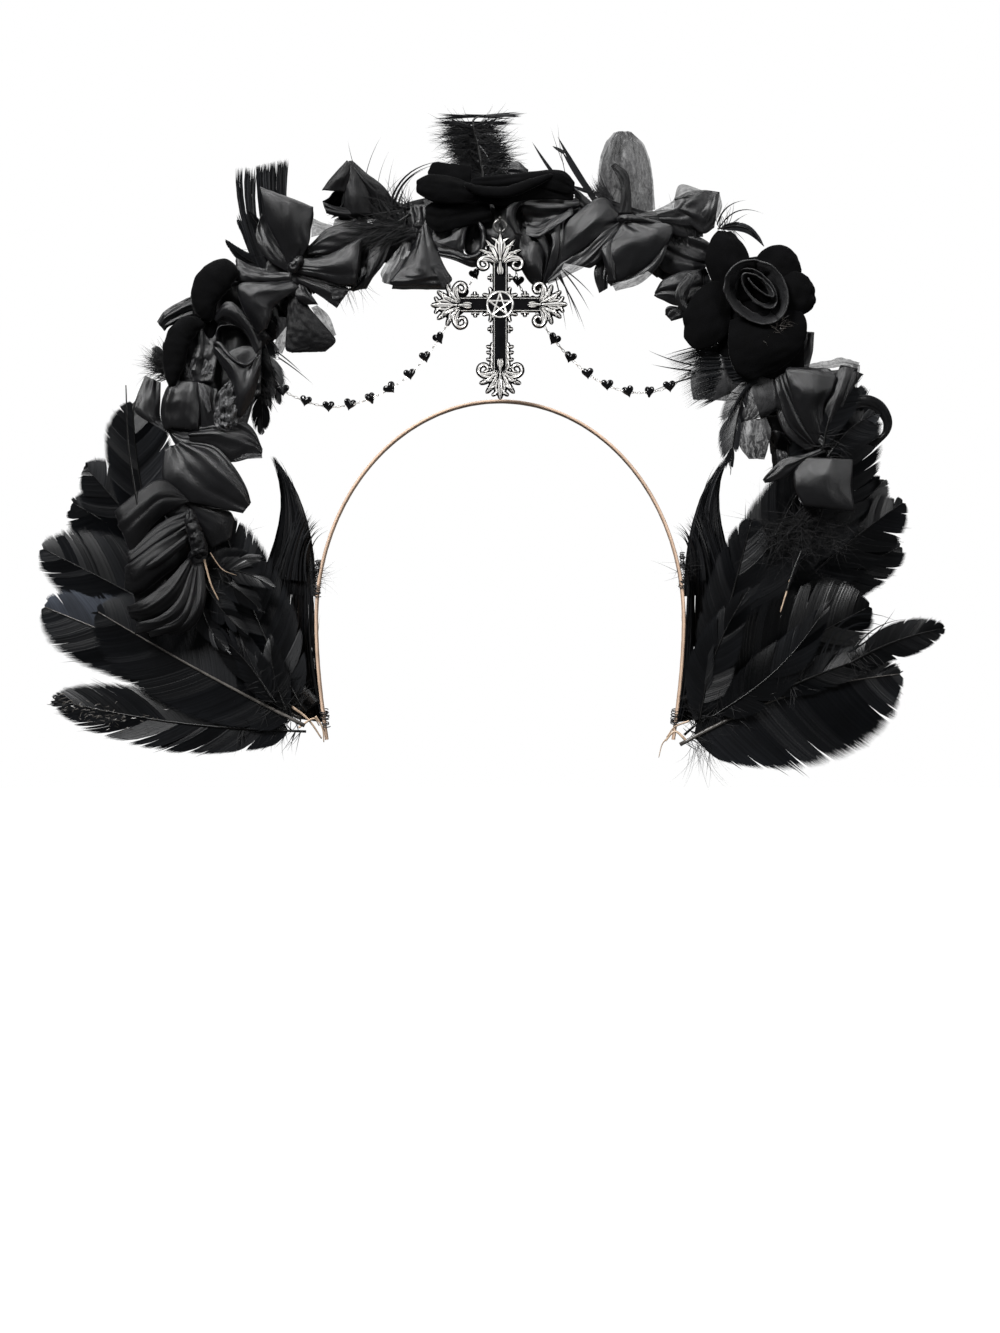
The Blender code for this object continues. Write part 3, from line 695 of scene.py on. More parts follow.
def wisps(rng, places, heads, count, length, spread, width, curl=0.5):
    """Seeds of loose hairs or down near given places, setting out roughly along given headings."""
    pick = rng.integers(0, len(places), count)
    size = length * rng.uniform(0.45, 1.1, count)[:, None]
    aim = unit(heads[pick] + rng.normal(0, spread, (count, 3))) * size
    turn = unit(np.cross(aim, rng.normal(0, 1, (count, 3)))) * size
    flat = unit(np.cross(aim, rng.normal(0, 0.4, (count, 3)) + [0, 1, 0])) * width
    bend = turn * curl * rng.uniform(0.2, 1, (count, 1))
    curled = unit(np.cross(turn, aim)) * size * curl * rng.uniform(-0.5, 0.5, (count, 1))
    return {
        "root": places[pick], "aim": aim, "bend": bend, "curl": curled, "flat": flat,
        "swell": np.zeros(count), "tone": rng.uniform(0.7, 1.4, count),
    }


# %% A whole feather
def feather(name, seed, base, tip, bow, left, right, fullness=0.55, blunt=2.2, rag=1.0, cup=1.2,
            quill_size=0.7, down=1.0, pale=(1.0, 1.0), rachis=quill_black, cover=1.9):
    """A feather with its sizes in millimetres, as one object."""
    rng = np.random.default_rng(seed)
    quill = Quill(np.array(base) * MM, np.array(tip) * MM, bow * MM)
    barbs = int(quill.length / BARB_SPACING)
    halves = [
        half_vane(rng, quill, sign, width * MM, fullness, blunt, barbs, rag, cup * MM, tone, cover)
        for sign, width, tone in ((1, left, pale[0]), (-1, right, pale[1]))
    ]
    items = [grow(name, mix_seeds(*halves), 4, 9.0, vane_black)]
    u = np.linspace(0.02, 0.25, 24)
    side = quill.sideways(u) * rng.choice([-1, 1], (24, 1))
    heads = unit(side + quill.heading(u) * 0.5)
    fluff = wisps(rng, quill.at(u), heads, int(70 * down), 0.011, 0.35, 0.00016)
    items.append(grow(name + "_down", fluff, 6, 2.0, down_black))
    u = np.linspace(0.0, LAST_BARB, 26)
    line = quill.at(u)
    line[:, 1] -= 0.35 * MM
    items.append(tube(name + "_quill", line, quill_size * MM * (1 - 0.8 * u), rachis))
    return join_pieces(name, items)


# %% [markdown]
# ## The wings
# Feathers in layers make the two wings. The rows repeat the engineering model's places: base and
# tip as seen from the front, how far the quill bows, the width of each half vane, and the layer
# it lies in, with the smallest y in front. Two more columns say how full the vane is towards its
# tip and how ragged its edge has become. Small covert feathers lie over the roots of the big ones.

# %% Tables of the feathers, in millimetres
# node, base x, base z, tip x, tip z, bow, left vane, right vane, layer y, fullness, rag
WING_FEATHERS = [
    ("left_upper", -142, -72, -158, 2, 4, 14, 16, 14.0, 0.76, 0.6),
    ("left_outer", -134, -76, -179.5, -25, 0, 14, 16, 16.6, 0.66, 1.0),
    ("left_outer", -132, -82, -185, -41, -3, 18, 14, 17.2, 0.62, 1.0),
    ("left_high", -86, -128, -197, -61, -4, 17, 20, -1.8, 0.72, 0.7),
    ("left_middle", -84.5, -134, -196, -86, -1, 18, 16, -4.0, 0.78, 0.6),
    ("left_front", -82.5, -137, -172, -88, 1, 21, 22, -10.6, 0.6, 0.6),
    ("left_low", -82, -139.5, -191, -126, 3, 13.5, 14.5, -8.4, 0.5, 0.9),
    ("left_broad", -83, -131, -118.5, -48, 3, 19, 17, -6.2, 0.5, 0.8),
    ("right_outer", 118, -88, 174, -41, 2, 13, 16, 14.0, 0.66, 0.9),
    ("right_outer", 124, -76, 153, 9, -4, 14, 19, 14.5, 0.5, 0.9),
    ("right_upper", 118, -84, 166, -31, 0, 12, 12, 16.6, 0.6, 0.9),
    ("right_upper", 118, -90, 173, -60, 0, 13, 12, 17.2, 0.64, 0.9),
    ("right_high", 85, -126, 136, -21, 2, 17, 16, -1.8, 0.5, 0.6),
    ("right_high", 86, -130, 107, -49, 0, 12, 15, -2.3, 0.5, 0.8),
    ("right_broad", 78, -141, 158, -86, 4, 24, 18, -6.2, 0.62, 0.7),
    ("right_front", 76, -145, 171, -115, 6, 14, 34, -10.6, 0.56, 0.7),
    ("right_twisted", 114, -124, 168, -104, 1, 8, 8, -12.9, 0.45, 1.2),
    ("right_twisted", 147, -111, 188.7, -95.6, 2, 8, 8.5, -13.6, 0.6, 0.8),
]
# Grey quills for three feathers: their paler grey is a painted highlight along the rachis.
PAINTED_HIGHLIGHT_QUILL = {"quill_size": 0.85, "rachis": quill_grey}
WING_LOOKS = {
    "left_front": PAINTED_HIGHLIGHT_QUILL,
    "right_front": PAINTED_HIGHLIGHT_QUILL,
    # The right vane of this feather is painted seven times paler: a painted sheen.
    "left_middle": {**PAINTED_HIGHLIGHT_QUILL, "pale": (1.0, 7.0)},
    "right_broad": {"pale": (0.35, 0.35), "cup": -1.0},
    "right_twisted": {"pale": (0.6, 0.6)},
    "right_high": {"pale": (0.6, 0.6)},
}
# node, base x, base z, tip x, tip z, bow, half width, layer y
COVERTS = [
    ("left_outer", -112, -84, -146, -50, 2, 9, 10.5),
    ("left_outer", -112, -82, -152, -66, -2, 9, 12), ("left_upper", -112, -78, -142, -30, 3, 9, 11),
    ("left_outer", -112, -86, -150, -78, -2, 8, 9.5),
    ("right_outer", 110, -86, 142, -58, 2, 9, 10.5), ("right_outer", 110, -83, 134, -40, -2, 9, 11),
    ("right_upper", 110, -88, 148, -76, 2, 9, 12), ("right_outer", 112, -74, 140, -24, 2, 10, 12),
    ("left_broad", -125, -70, -99, -67, 2, 5.5, -15),
    ("left_broad", -125, -71, -95, -79, 3, 6, -15.6),
    ("left_broad", -125, -72, -99, -90, 2, 6, -15.2),
    ("left_broad", -126, -74, -106, -99, -2, 6.5, -15.8),
    ("left_broad", -127, -80, -114, -106, -3, 6, -15),
    ("left_front", -96, -126, -128, -92, -3, 8, -13.2),
    ("left_front", -94, -128, -112, -92, 2, 7.5, -12.8),
    ("left_front", -90, -131, -97, -98, 2, 6.5, -12.4),
    ("right_front", 84, -136, 106, -78, 4, 11, -12.6),
    ("right_front", 88, -134, 140, -84, -5, 11, -13.2),
    ("right_front", 85, -138, 90, -92, 3, 6, -12.2),
]
COVERT_LOOK = {
    "fullness": 0.42, "blunt": 1.4, "rag": 1.2, "quill_size": 0.3, "down": 0.3, "pale": (0.6, 0.6),
}

# %% The big feathers
wing_pieces = {}
for number, (name, bx, bz, tx, tz, bow, left, right, y, fullness, rag) in enumerate(WING_FEATHERS):
    look = {"quill_size": 0.55, "fullness": fullness, "rag": rag, **WING_LOOKS.get(name, {})}
    made = feather(name, 100 + number, (bx, y, bz), (tx, y, tz), bow, left, right, **look)
    wing_pieces.setdefault(name, []).append(made)


# %% [markdown]
# The innermost feather of each wing has lost its hooks: its long barbs stream upwards together
# and end in one curved point, like a horn. Their roots lie on a line across the feather, their
# middles on a shorter one, and those on the outer side let go before the point.

# %% The two horns
def stream(rng, low, high, tips, layer, count, short, stray, width=(0.25, 0.5), flip=1):
    """Barbs that stream from one line over a second to a third, each (x, z, x, z) in millimetres."""
    s = np.sort(rng.random(count))[:, None]
    deep = layer + rng.uniform(-1.5, 1.5, (count, 1)) - 3 * np.sin(np.pi * s)
    flat = [np.array(line[:2]) * (1 - s) + np.array(line[2:]) * s for line in (low, high, tips)]
    root, middle, point = (np.concatenate([p[:, :1], deep, p[:, 1:]], 1) for p in flat)
    reach = 1.03 - rng.uniform(0, short, (count, 1)) * s**1.2
    away = (rng.random((count, 1)) < stray) * rng.uniform(0.5, 4, (count, 1)) * s
    end = middle + (point - middle) * reach + rng.normal(0, 0.5, (count, 1)) * [1, 0, 0]
    end = end + away * [1, 0, -0.3]
    root, middle, end = (places * [flip * MM, MM, MM] for places in (root, middle, end))
    aim = 4 * middle - 3 * root - end
    flat = unit(np.cross(aim, FORWARD)) + FORWARD * rng.normal(0, 0.35, (count, 1))
    return {
        "root": root, "aim": aim, "bend": end - root - aim, "curl": 0 * root,
        "flat": flat * (rng.uniform(*width, (count, 1)) * MM), "swell": np.full(count, -0.55),
        "tone": rng.uniform(0.6, 1.6, count),
    }


# lines of roots, middles and points, layer, count, shortening, share of strays
HORN = [
    ((-105, -80, -79, -82), (-94.2, -48, -83.5, -47), (-97, -22.5, -97, -22.5), 13.0, 230, 0.5, 0.12),
    ((-104, -100, -80, -104), (-104, -84, -80, -84), (-97, -60, -82, -60), 12.5, 200, 0.3, 0.2),
    ((-100, -74, -80, -76), (-93, -58, -80, -60), (-90, -40, -73, -52), 11.0, 46, 0.5, 0.5),
    ((-86, -134, -74.5, -136), (-100, -114, -77.5, -110), (-100, -86, -79, -86), 11.5, 200, 0.3, 0.1),
]
for name, flip in (("left_inner", 1), ("right_inner", -1)):
    for number, row in enumerate(HORN):
        seeds = stream(np.random.default_rng(90 + flip + 7 * number), *row, flip=flip)
        wing_pieces.setdefault(name, []).append(grow(name, seeds, 9, 5.0, vane_black))

# %% Quills tied to the hoop, and the coverts
TIED = {"left_upper": -1, "left_outer": -1, "right_outer": 1, "right_upper": 1}
KNOT_X, KNOT_Y, KNOT_Z, KNOT_PITCH = 111.5, 11.2, -85, 3
for number, (name, bx, bz, tx, tz, *_, y, _, _) in enumerate(WING_FEATHERS):
    if name in TIED:
        root = np.array([(bx, y, bz)]) * MM
        root[:, 1] += swept(root[:, 0])
        tied = np.array([(TIED[name] * KNOT_X, KNOT_Y, KNOT_Z + KNOT_PITCH * (number % 4))]) * MM
        ahead = unit(np.array([(tx - bx, 0, tz - bz)], float)) * 3 * MM
        line = np.concatenate([tied, (tied + root) / 2 - ahead, root, root + ahead])
        line = smooth_line(line, np.linspace(0, 3, 20))
        quill = tube("tied_quill", line, np.linspace(0.8, 0.5, 20) * MM, quill_black)
        wing_pieces[name].append(quill)

for number, (name, bx, bz, tx, tz, bow, half, y) in enumerate(COVERTS):
    look = {**COVERT_LOOK, "cup": -0.8 if name == "right_front" else 1.2}
    made = feather(name, 200 + number, (bx, y, bz), (tx, y, tz), bow, half, half, **look)
    wing_pieces[name].append(made)

for name, made in wing_pieces.items():
    dress(join_pieces(f"goose_feather_{name}", made), [f"feather_{name}"])

# %% Bare ends of quills: their lines, first and last radius in millimetres, and their finish
BARE_QUILLS = [
    ([(-88, -9.5, -129), (-81, -9, -134.5), (-75.5, -7, -142.5)], 0.64, 0.32, quill_bare),
    ([(-85, -11, -137.8), (-79, -9, -134), (-76.5, -7, -137)], 0.48, 0.24, quill_bare),
    ([(-78, -8, -133), (-75.2, -7, -138), (-74.6, -6, -144)], 0.44, 0.22, quill_bare),
    ([(79, -11, -143.6), (74, -10, -139.5), (70, -9, -143.5)], 0.64, 0.32, quill_bare),
    ([(80, -10, -135), (74, -9, -137.5), (70.5, -8, -142)], 0.48, 0.24, quill_bare),
    ([(71, -9, -142), (68.6, -8, -145), (67.2, -7, -150.5)], 0.32, 0.16, quill_bare),
    ([(-124.4, -19, -67), (-121.8, -17, -77), (-118.6, -15, -84)], 0.48, 0.24, quill_bare),
    ([(-122, -18, -64), (-117, -16.5, -71), (-111, -15, -73.6)], 0.2, 0.1, quill_bare),
    ([(122.6, -10, -75.5), (120.6, -10.6, -82), (118.4, -11, -89)], 0.48, 0.24, quill_bare),
    ([(-157.5, -17, 6.4), (-156.2, -18, -20), (-151.2, -19.5, -51)], 0.25, 0.6, quill_black),
    ([(127.5, -8.5, -63), (124.6, -9.5, -70), (121.2, -10.6, -80)], 0.3, 0.55, quill_black),
]
bare = [
    tube("bare_quill", curve_through(line, 24), np.linspace(first, last, 24) * MM, finish)
    for line, first, last, finish in BARE_QUILLS
]
# Curled barbules where the lowest feather has worn thin along its edge. Their pale grey paints glints
# over the dark feather.
WORN_GLINT_EDGE = [(-187, -10, -127), (-172, -11, -131.5), (-158, -11, -135), (-136, -10.6, -137)]
WORN_GLINT_BARBS, WORN_GLINT_LENGTH = 130, 2.4 * MM
rng = np.random.default_rng(8)
edge = curve_through(WORN_GLINT_EDGE, 60)
heads = unit(np.array([(-1.0, -0.1, -0.25)])).repeat(len(edge), 0)
worn_glints = wisps(rng, edge, heads, WORN_GLINT_BARBS, WORN_GLINT_LENGTH, 0.35, 0.00018, curl=0.6)
apart = rng.normal(0, WORN_GLINT_LENGTH, (WORN_GLINT_BARBS, 3)) * [1, 0, 1]
back = swept(edge[rng.integers(0, len(edge), WORN_GLINT_BARBS), 0])
worn_glints["root"] = worn_glints["root"] + apart + FORWARD * back[:, None]
bare.append(grow("worn_edge", worn_glints, 7, 3.0, quill_grey))
dress(join_pieces("bare_quills", bare), [])


# %% [markdown]
# ## Copies and cloth
# Three helpers make nearly everything that isn't a barb. A loft skins a row of rings, which
# suits wire, bands, hearts and cast leaves. A Geometry Nodes tree puts a copy of one small
# shape on every point, turned and scaled by the point's own attributes: turns of tape, chain
# links, hearts and grains of silver. A cloth is a grid of points with its own UV map in metres,
# so that the weave keeps its size however the cloth is folded.

# %% Lofts
def travel_along(line):
    """The length of a line of points, up to each of them."""
    return np.concatenate([[0], np.linalg.norm(np.diff(line, axis=0), axis=1).cumsum()])


def grid_uv(points, closed):
    """Lengths across and along a grid of points, one pair for each corner of its faces."""
    if closed:
        points = np.concatenate([points, points[:, :1]], axis=1)
    middle = points.shape[1] // 2
    u = np.linalg.norm(np.diff(points, axis=1), axis=2).cumsum(1)
    u = np.concatenate([np.zeros((len(u), 1)), u], axis=1)
    u -= u[:, middle][:, None]
    v = travel_along(points[:, middle])
    uv = np.stack([u, np.broadcast_to(v[:, None], u.shape)], -1)
    return np.stack([uv[:-1, :-1], uv[:-1, 1:], uv[1:, 1:], uv[1:, :-1]], 2).reshape(-1, 2)


def skin(name, points, material, closed, capped=False, sharp=40):
    """A mesh object over a grid of points, with the UV map "cloth"."""
    points = np.asarray(points, float)
    deep, wide = points.shape[:2]
    faces = [tuple(f) for f in grid_faces(deep, wide, closed).tolist()]
    uv = grid_uv(points, closed)
    if capped:
        faces += [tuple(reversed(range(wide))), tuple(range((deep - 1) * wide, deep * wide))]
        uv = np.concatenate([uv, np.zeros((2 * wide, 2))])
    mesh = bpy.data.meshes.new(name)
    mesh.from_pydata([tuple(p) for p in points.reshape(-1, 3).tolist()], [], faces)
    mesh.uv_layers.new(name="cloth").data.foreach_set("uv", uv.ravel())
    if capped:
        face_outwards(mesh)
    mesh.shade_smooth()
    mesh.set_sharp_from_angle(angle=math.radians(sharp))
    mesh.materials.append(material)
    return add_item(name, mesh)


def loft(name, rings, material, sharp=40):
    return skin(name, rings, material, closed=True, capped=True, sharp=sharp)


# %% Copies of a small shape, by Geometry Nodes
def copies_tree():
    inputs = {"Places": "Geometry", "Shape": "Object", "Material": "Material"}
    tree, given, out = new_tree("place_copies", inputs, "Copies")
    shape = add_node(tree, "GeometryNodeObjectInfo", {"Object": given["Shape"]}).outputs["Geometry"]
    turn = add_node(tree, "FunctionNodeEulerToRotation", {0: named(tree, "turn")}).outputs[0]
    copies = geo_node(tree, "InstanceOnPoints", {
        "Points": given["Places"], "Instance": shape, "Rotation": turn, "Scale": named(tree, "size"),
    })
    real = geo_node(tree, "RealizeInstances", {"Geometry": copies})
    finish = geo_node(tree, "SetMaterial", {"Geometry": real, "Material": given["Material"]})
    put(tree, out, finish)
    return tree


COPIES = copies_tree()


def place_copies(name, places, frames, sizes, shape, material):
    """Copies of shape. frames holds each copy's own X, Y and Z directions as three columns."""
    turns = [tuple(Matrix(f).to_euler()) for f in frames]
    points = {"root": places, "turn": turns, "size": sizes}
    made = run_tree(name, points, COPIES, {"Shape": shape, "Material": material})
    bpy.data.objects.remove(shape)
    return made


def frames_along(line, rolls):
    """Frames whose Z runs along a line of points, each rolled about it by its own angle."""
    out = []
    for head, roll in zip(unit(np.gradient(line, axis=0)), rolls):
        first = unit(np.cross(head, [0.1, 1.0, 0.05]))
        turned = first * math.cos(roll) + np.cross(head, first) * math.sin(roll)
        out.append(np.stack([turned, np.cross(head, turned), head], axis=1).tolist())
    return out


def torus(name, ring, wire, material, around=40, section=12, centre=(0, 0, 0), axis="Y"):
    """A closed ring about an axis through its centre."""
    a = np.linspace(0, 2 * np.pi, around, endpoint=False)[:, None]
    b = np.linspace(0, 2 * np.pi, section, endpoint=False)[None, :]
    reach, rise = ring + wire * np.cos(b), wire * np.sin(b) + 0 * a
    first, second = reach * np.cos(a), reach * np.sin(a)
    order = {"Y": (second, rise, first), "X": (rise, first, second)}[axis]
    points = np.stack(order, -1) + np.array(centre)
    made = skin(name, np.concatenate([points, points[:1]]), material, closed=True)
    face_outwards(made.data, merge=1e-7)
    return made


def measure(rows):
    """Length along the middle and area of the surface through rows of points."""
    length = travel_along(rows[:, rows.shape[1] // 2])[-1]
    a, b = rows[1:, :-1] - rows[:-1, :-1], rows[:-1, 1:] - rows[:-1, :-1]
    c, d = rows[1:, :-1] - rows[1:, 1:], rows[:-1, 1:] - rows[1:, 1:]
    halves = np.linalg.norm(np.cross(a, b), axis=2) + np.linalg.norm(np.cross(c, d), axis=2)
    return length, halves.sum() / 2


def cloth(name, rows, material):
    """One layer of cloth and what it measures. Walls are added once its pieces are sewn."""
    return skin(name, rows, material, closed=False, sharp=180), measure(rows)


def sew(name, parts, wall, nodes=()):
    piece = join_pieces(name, [item for item, _ in parts])
    if wall > 0:
        solid = piece.modifiers.new("wall", "SOLIDIFY")
        solid.thickness = wall * MM
        solid.offset = 0
    dress(piece, nodes)
    return piece


def crease(points, size, seed, ridged=True):
    """Noise over points: soft hills, or sharp-crested folds between -1 and 1."""
    flat = points.reshape(-1, 3) / size + seed * 7.31
    value = np.array([noise.noise(Vector(p)) for p in flat.tolist()]).reshape(points.shape[:-1])
    return 1 - 4 * np.abs(value) if ridged else 2 * value


# %% [markdown]
# ## Headband and hoop
# The headband is a flat strip, bound with nude ribbon in slanting turns, so its edge steps a
# little at each turn. The hoop is padded wire bound with glossy black tape. Each turn of tape
# is a short cone that overlaps the last one, which gives the ribs. The turns are copies of one
# cone, tilted on the line of the hoop, as a spiral binding lies.

# %% Lines of the band and the hoop
BAND_HALF_WIDTH = 77.4 * MM
BAND_DROP = 92 * MM
BAND_LEG_END = (73 * MM, -143 * MM)
BAND_SIZE = (1.25 * MM, 10 * MM)
BAND_TURN = 7 * MM
BAND_INSIDE = (0, 0, -60 * MM)
HOOP_RADIUS = 121 * MM
HOOP_CENTRE = np.array((0, 8, -38)) * MM
HOOP_CORE = 4 * MM
HOOP_END = math.radians(-47)


def band_line(steps=240):
    """The underside of the band from one end to the other."""
    leg = np.linspace(0, 1, steps // 5, endpoint=False)
    end_x, end_z = BAND_LEG_END
    x = -end_x - (BAND_HALF_WIDTH - end_x) * np.sin(leg * np.pi / 2)
    left = np.stack([x, 0 * leg, end_z + (-BAND_DROP - end_z) * leg], 1)
    a = np.linspace(0, np.pi, steps)
    arch = np.stack([-BAND_HALF_WIDTH * np.cos(a), 0 * a, BAND_DROP * (np.sin(a) - 1)], 1)
    return np.concatenate([left, arch, left[::-1] * [-1, 1, 1]])


def hoop_line(steps):
    a = np.linspace(math.pi - HOOP_END, HOOP_END, steps)
    return HOOP_CENTRE + HOOP_RADIUS * np.stack([np.cos(a), 0 * a, np.sin(a)], 1)


# %% The bound headband
line = band_line()
outward = np.cross(FORWARD, unit(np.gradient(line, axis=0)))
outward *= np.sign((outward * (line - BAND_INSIDE)).sum(1, keepdims=True))
around = np.linspace(0, 2 * np.pi, 20, endpoint=False)
thick, deep = BAND_SIZE
flat_out = np.sign(np.cos(around)) * np.abs(np.cos(around)) ** 0.6 * thick / 2
flat_deep = np.sign(np.sin(around)) * np.abs(np.sin(around)) ** 0.35 * deep / 2
share = (travel_along(line)[:, None] / BAND_TURN + around / (2 * np.pi)) % 1.0
puff = 1 + 0.16 * np.minimum(share * 4, 1) * (1 - 0.4 * share)
rings = (line + outward * thick / 2)[:, None] + outward[:, None] * (flat_out * puff)[..., None]
rings = rings + FORWARD * (flat_deep * (1 + 0.02 * puff))[..., None]
dress(loft("bound_headband", rings, nude_ribbon, sharp=60), ["headband"])

# %% The tape-bound hoop
TAPE_PITCH = 4.2 * MM
TAPE_TILT = math.radians(14)
# reach from the hoop's middle in cores, and place along the hoop in pitches
TAPE_SECTION = [
    (0.2, -0.95), (0.93, -0.9), (0.985, -0.55), (1.06, 0.35), (1.05, 0.52), (0.92, 0.5), (0.2, 0.45)
]


def tape_turn():
    """One turn of tape as a short cone shell about Z."""
    a = np.linspace(0, 2 * np.pi, 16, endpoint=False)[None, :]
    reach, rise = (np.array(TAPE_SECTION) * [HOOP_CORE, TAPE_PITCH]).T[:, :, None]
    rings = np.stack([reach * np.cos(a), reach * np.sin(a), rise + 0 * a], -1)
    return loft("tape_turn", rings, black_tape)


count = int(HOOP_RADIUS * (math.pi - 2 * HOOP_END) / TAPE_PITCH)
places = hoop_line(count)
tilt = np.array(Matrix.Rotation(TAPE_TILT, 3, "X"))
frames = [(np.array(f) @ tilt).tolist() for f in frames_along(places, np.zeros(count))]
rng = np.random.default_rng(5)
sizes = np.stack([rng.uniform(0.97, 1.04, count)] * 2 + [rng.uniform(0.95, 1.1, count)], 1)
hoop = place_copies("tape_hoop", places, frames, sizes, tape_turn(), black_tape)
dress(hoop, ["halo_hoop"])


# %% The wire hook
def add_relief(piece, values):
    """How bright the silver is at each point: 1 on top, less in the hollows, where the darkening is
    partly tarnish and partly painted shade.
    """
    held = piece.data.attributes.new("relief", "FLOAT", "POINT")
    held.data.foreach_set("value", np.broadcast_to(values, len(piece.data.vertices)).astype(float))
    return piece


HOOK = [(8, 81), (3, 77.8), (-4, 75.6), (-11, 74.6), (-16, 74.5), (-19.5, 74.8), (-21.5, 76.8)]
route = curve_through([(0, y, z) for y, z in HOOK], 40)
hook = tube("hook", route, np.full(40, 0.6 * MM), silver, around=12)
dress(add_relief(hook, 0.1), [])

# %% Thread bindings: first and last middle, half sizes in millimetres, turns
BINDINGS = [
    ((-77.2, 0, -67), (-77.6, 0, -72), 1.0, 5.3, 9),
    ((-77.6, 0, -77), (-77.6, 0, -82), 1.2, 5.5, 7),
    ((-74.8, -1.5, -130), (-74.0, -1.5, -137), 1.5, 5.8, 9),
    ((77.4, 0, -64), (77.6, 0, -70), 1.0, 5.3, 9),
    ((77.6, 0, -74), (77.4, 0, -78), 1.2, 5.5, 6),
    ((74.6, -1.5, -130), (74.0, -1.5, -137), 1.5, 5.8, 9),
    ((-115.5, 8, -62), (-116.5, 8, -70), 4.7, 4.7, 16),
    ((116.5, 8, -66), (114.5, 8, -76), 4.7, 4.7, 18),
]
THREAD_RADIUS = 0.22 * MM


def binding(number, start, end, half_x, half_y, turns):
    t = np.linspace(0, 1, turns * 14)
    rng = np.random.default_rng(40 + number)
    slack = 1 + 0.3 * np.interp(t, np.linspace(0, 1, 12), rng.uniform(-1, 1, 12))
    a = 2 * np.pi * turns * t
    drift = np.interp(t, np.linspace(0, 1, turns), rng.uniform(-0.12, 0.12, turns))[:, None]
    middle = np.array(start) * (1 - t[:, None] - drift) + np.array(end) * (t[:, None] + drift)
    coil = np.stack([half_x * slack * np.cos(a), half_y * slack * np.sin(a), 0.5 * np.sin(a)], 1)
    return tube("binding", (middle + coil) * MM, np.full(len(t), THREAD_RADIUS), black_thread, around=6)


threads = [binding(number, *row) for number, row in enumerate(BINDINGS)]
dress(join_pieces("thread_bindings", threads), [])


# %% [markdown]
# ## The filigree cross
# The pendant is cast silver with black enamel laid in its bars. Cast leaves and scrolls are
# all one idea: a line that curves more and more, with a flat, rounded section that swells and
# thins along it. So one function casts every leaf, scroll and star bar, and a table says where.
# Silver like this is bright where it is rubbed, so each point carries a relief value that follows its
# height. The hollows and the thin flange are darker: partly tarnish, partly painted shade.

# %% Casting helpers, in millimetres
CROSS_Y = -16.0
CAST_FRONT = -17.1
# Relief levels. The lowest darkens grooves and recessed plates: partly tarnish, partly painted shade.
RUBBED, PLAIN, TARNISH_AND_SHADE = 0.85, 0.12, 0.03

# The section: share of the width, share of the flange, height, and relief, which is low at the flange
# and the back: partly tarnish, partly painted shade
SECTION = np.array([
    (1, 1, 0, 0), (1, 0, 0.14, 0), (0.7, 0, 0.8, 0.9), (0.3, 0, 1, 1), (0, 0, 0.9, 0.55),
    (-0.3, 0, 1, 1), (-0.7, 0, 0.8, 0.9), (-1, 0, 0.14, 0), (-1, -1, 0, 0), (-1, -1, -0.5, 0),
    (1, 1, -0.5, 0),
])
CREST = 4


def cast(line, widths, height, front=CAST_FRONT, flange=0.55, slim=0.7, groove=False):
    """A rounded body along a line of (x, z) places, bright on its crest, with a thin flange darkened
    partly by tarnish and partly by painted shade.
    """
    line = np.asarray(line, float)
    heads = unit(np.gradient(line, axis=0))
    sides = np.stack([-heads[:, 1], heads[:, 0]], 1)
    body, edge, lift, relief = SECTION.T.copy()
    # A groove's floor is darkened: partly tarnish, partly painted shade.
    if groove:
        lift[CREST], relief[CREST] = 0.62, TARNISH_AND_SHADE
    reach = slim * body * widths[:, None] + edge * flange * np.minimum(1, widths / 0.25)[:, None]
    across = sides[:, None] * reach[..., None]
    rise = lift * height * (0.35 + 0.65 * (widths / widths.max()) ** 0.5)[:, None]
    places = line[:, None] + across
    rings = np.stack([places[..., 0], front - rise, places[..., 1]], -1)
    return add_relief(loft("cast", rings * MM, silver), np.tile(relief, len(line)))


def curling(x, z, heading, length, curl, power=1.6, steps=18):
    """A line that sets out at a heading and turns by curl degrees over its length."""
    t = np.linspace(0, 1, steps)
    angle = np.radians(heading + curl * t**power)
    ways = np.stack([np.cos(angle), np.sin(angle)], 1)
    ways = np.concatenate([[(0, 0)], np.cumsum(ways[:-1], axis=0)])
    return ways * (length / (steps - 1)) + (x, z)


def leaf(x, z, heading, length, width, curl=0, height=0.7, front=CAST_FRONT):
    line = curling(x, z, heading, length, curl)
    t = np.linspace(0, 1, len(line))
    widths = width / 2 * np.maximum(np.sin(np.pi * t**1.25) ** 0.7, 0.05)
    return cast(line, widths, height, front, groove=width > 1.6)


def scroll(x, z, heading, length, curl, thick=0.55, height=0.65, front=CAST_FRONT):
    line = curling(x, z, heading, length, curl, power=1.25, steps=26)
    t = np.linspace(0, 1, len(line))
    widths = thick * (0.55 + 0.45 * np.sin(np.pi * t) + 0.75 * np.clip((t - 0.88) / 0.12, 0, 1))
    return cast(line, widths * np.minimum(1, 6 * (1.02 - t)) + 0.02, height, front)


def volute(points, thick, front=CAST_FRONT - 0.3):
    """A big scroll through (x, z) places, thick in its middle, with a round end."""
    t = np.linspace(0, 1, 40)
    flat = np.array([(x, 0, z) for x, z in points])
    line = smooth_line(flat, t * (len(points) - 1))[:, [0, 2]]
    widths = thick * (0.45 + 0.75 * np.sin(np.pi * t) ** 0.8 + 0.5 * np.clip((t - 0.9) / 0.1, 0, 1))
    return cast(line, widths * np.minimum(1, 8 * (1.02 - t)), 0.85, front)


def raised(name, outline, levels, material, sharp, relief):
    """A flat shape raised through levels: each a depth and the outline there, as (x, z) places."""
    rings = [[(x, y, z) for x, z in outline(k)] for y, k in levels]
    return add_relief(loft(name, np.array(rings) * MM, material, sharp=sharp), relief)


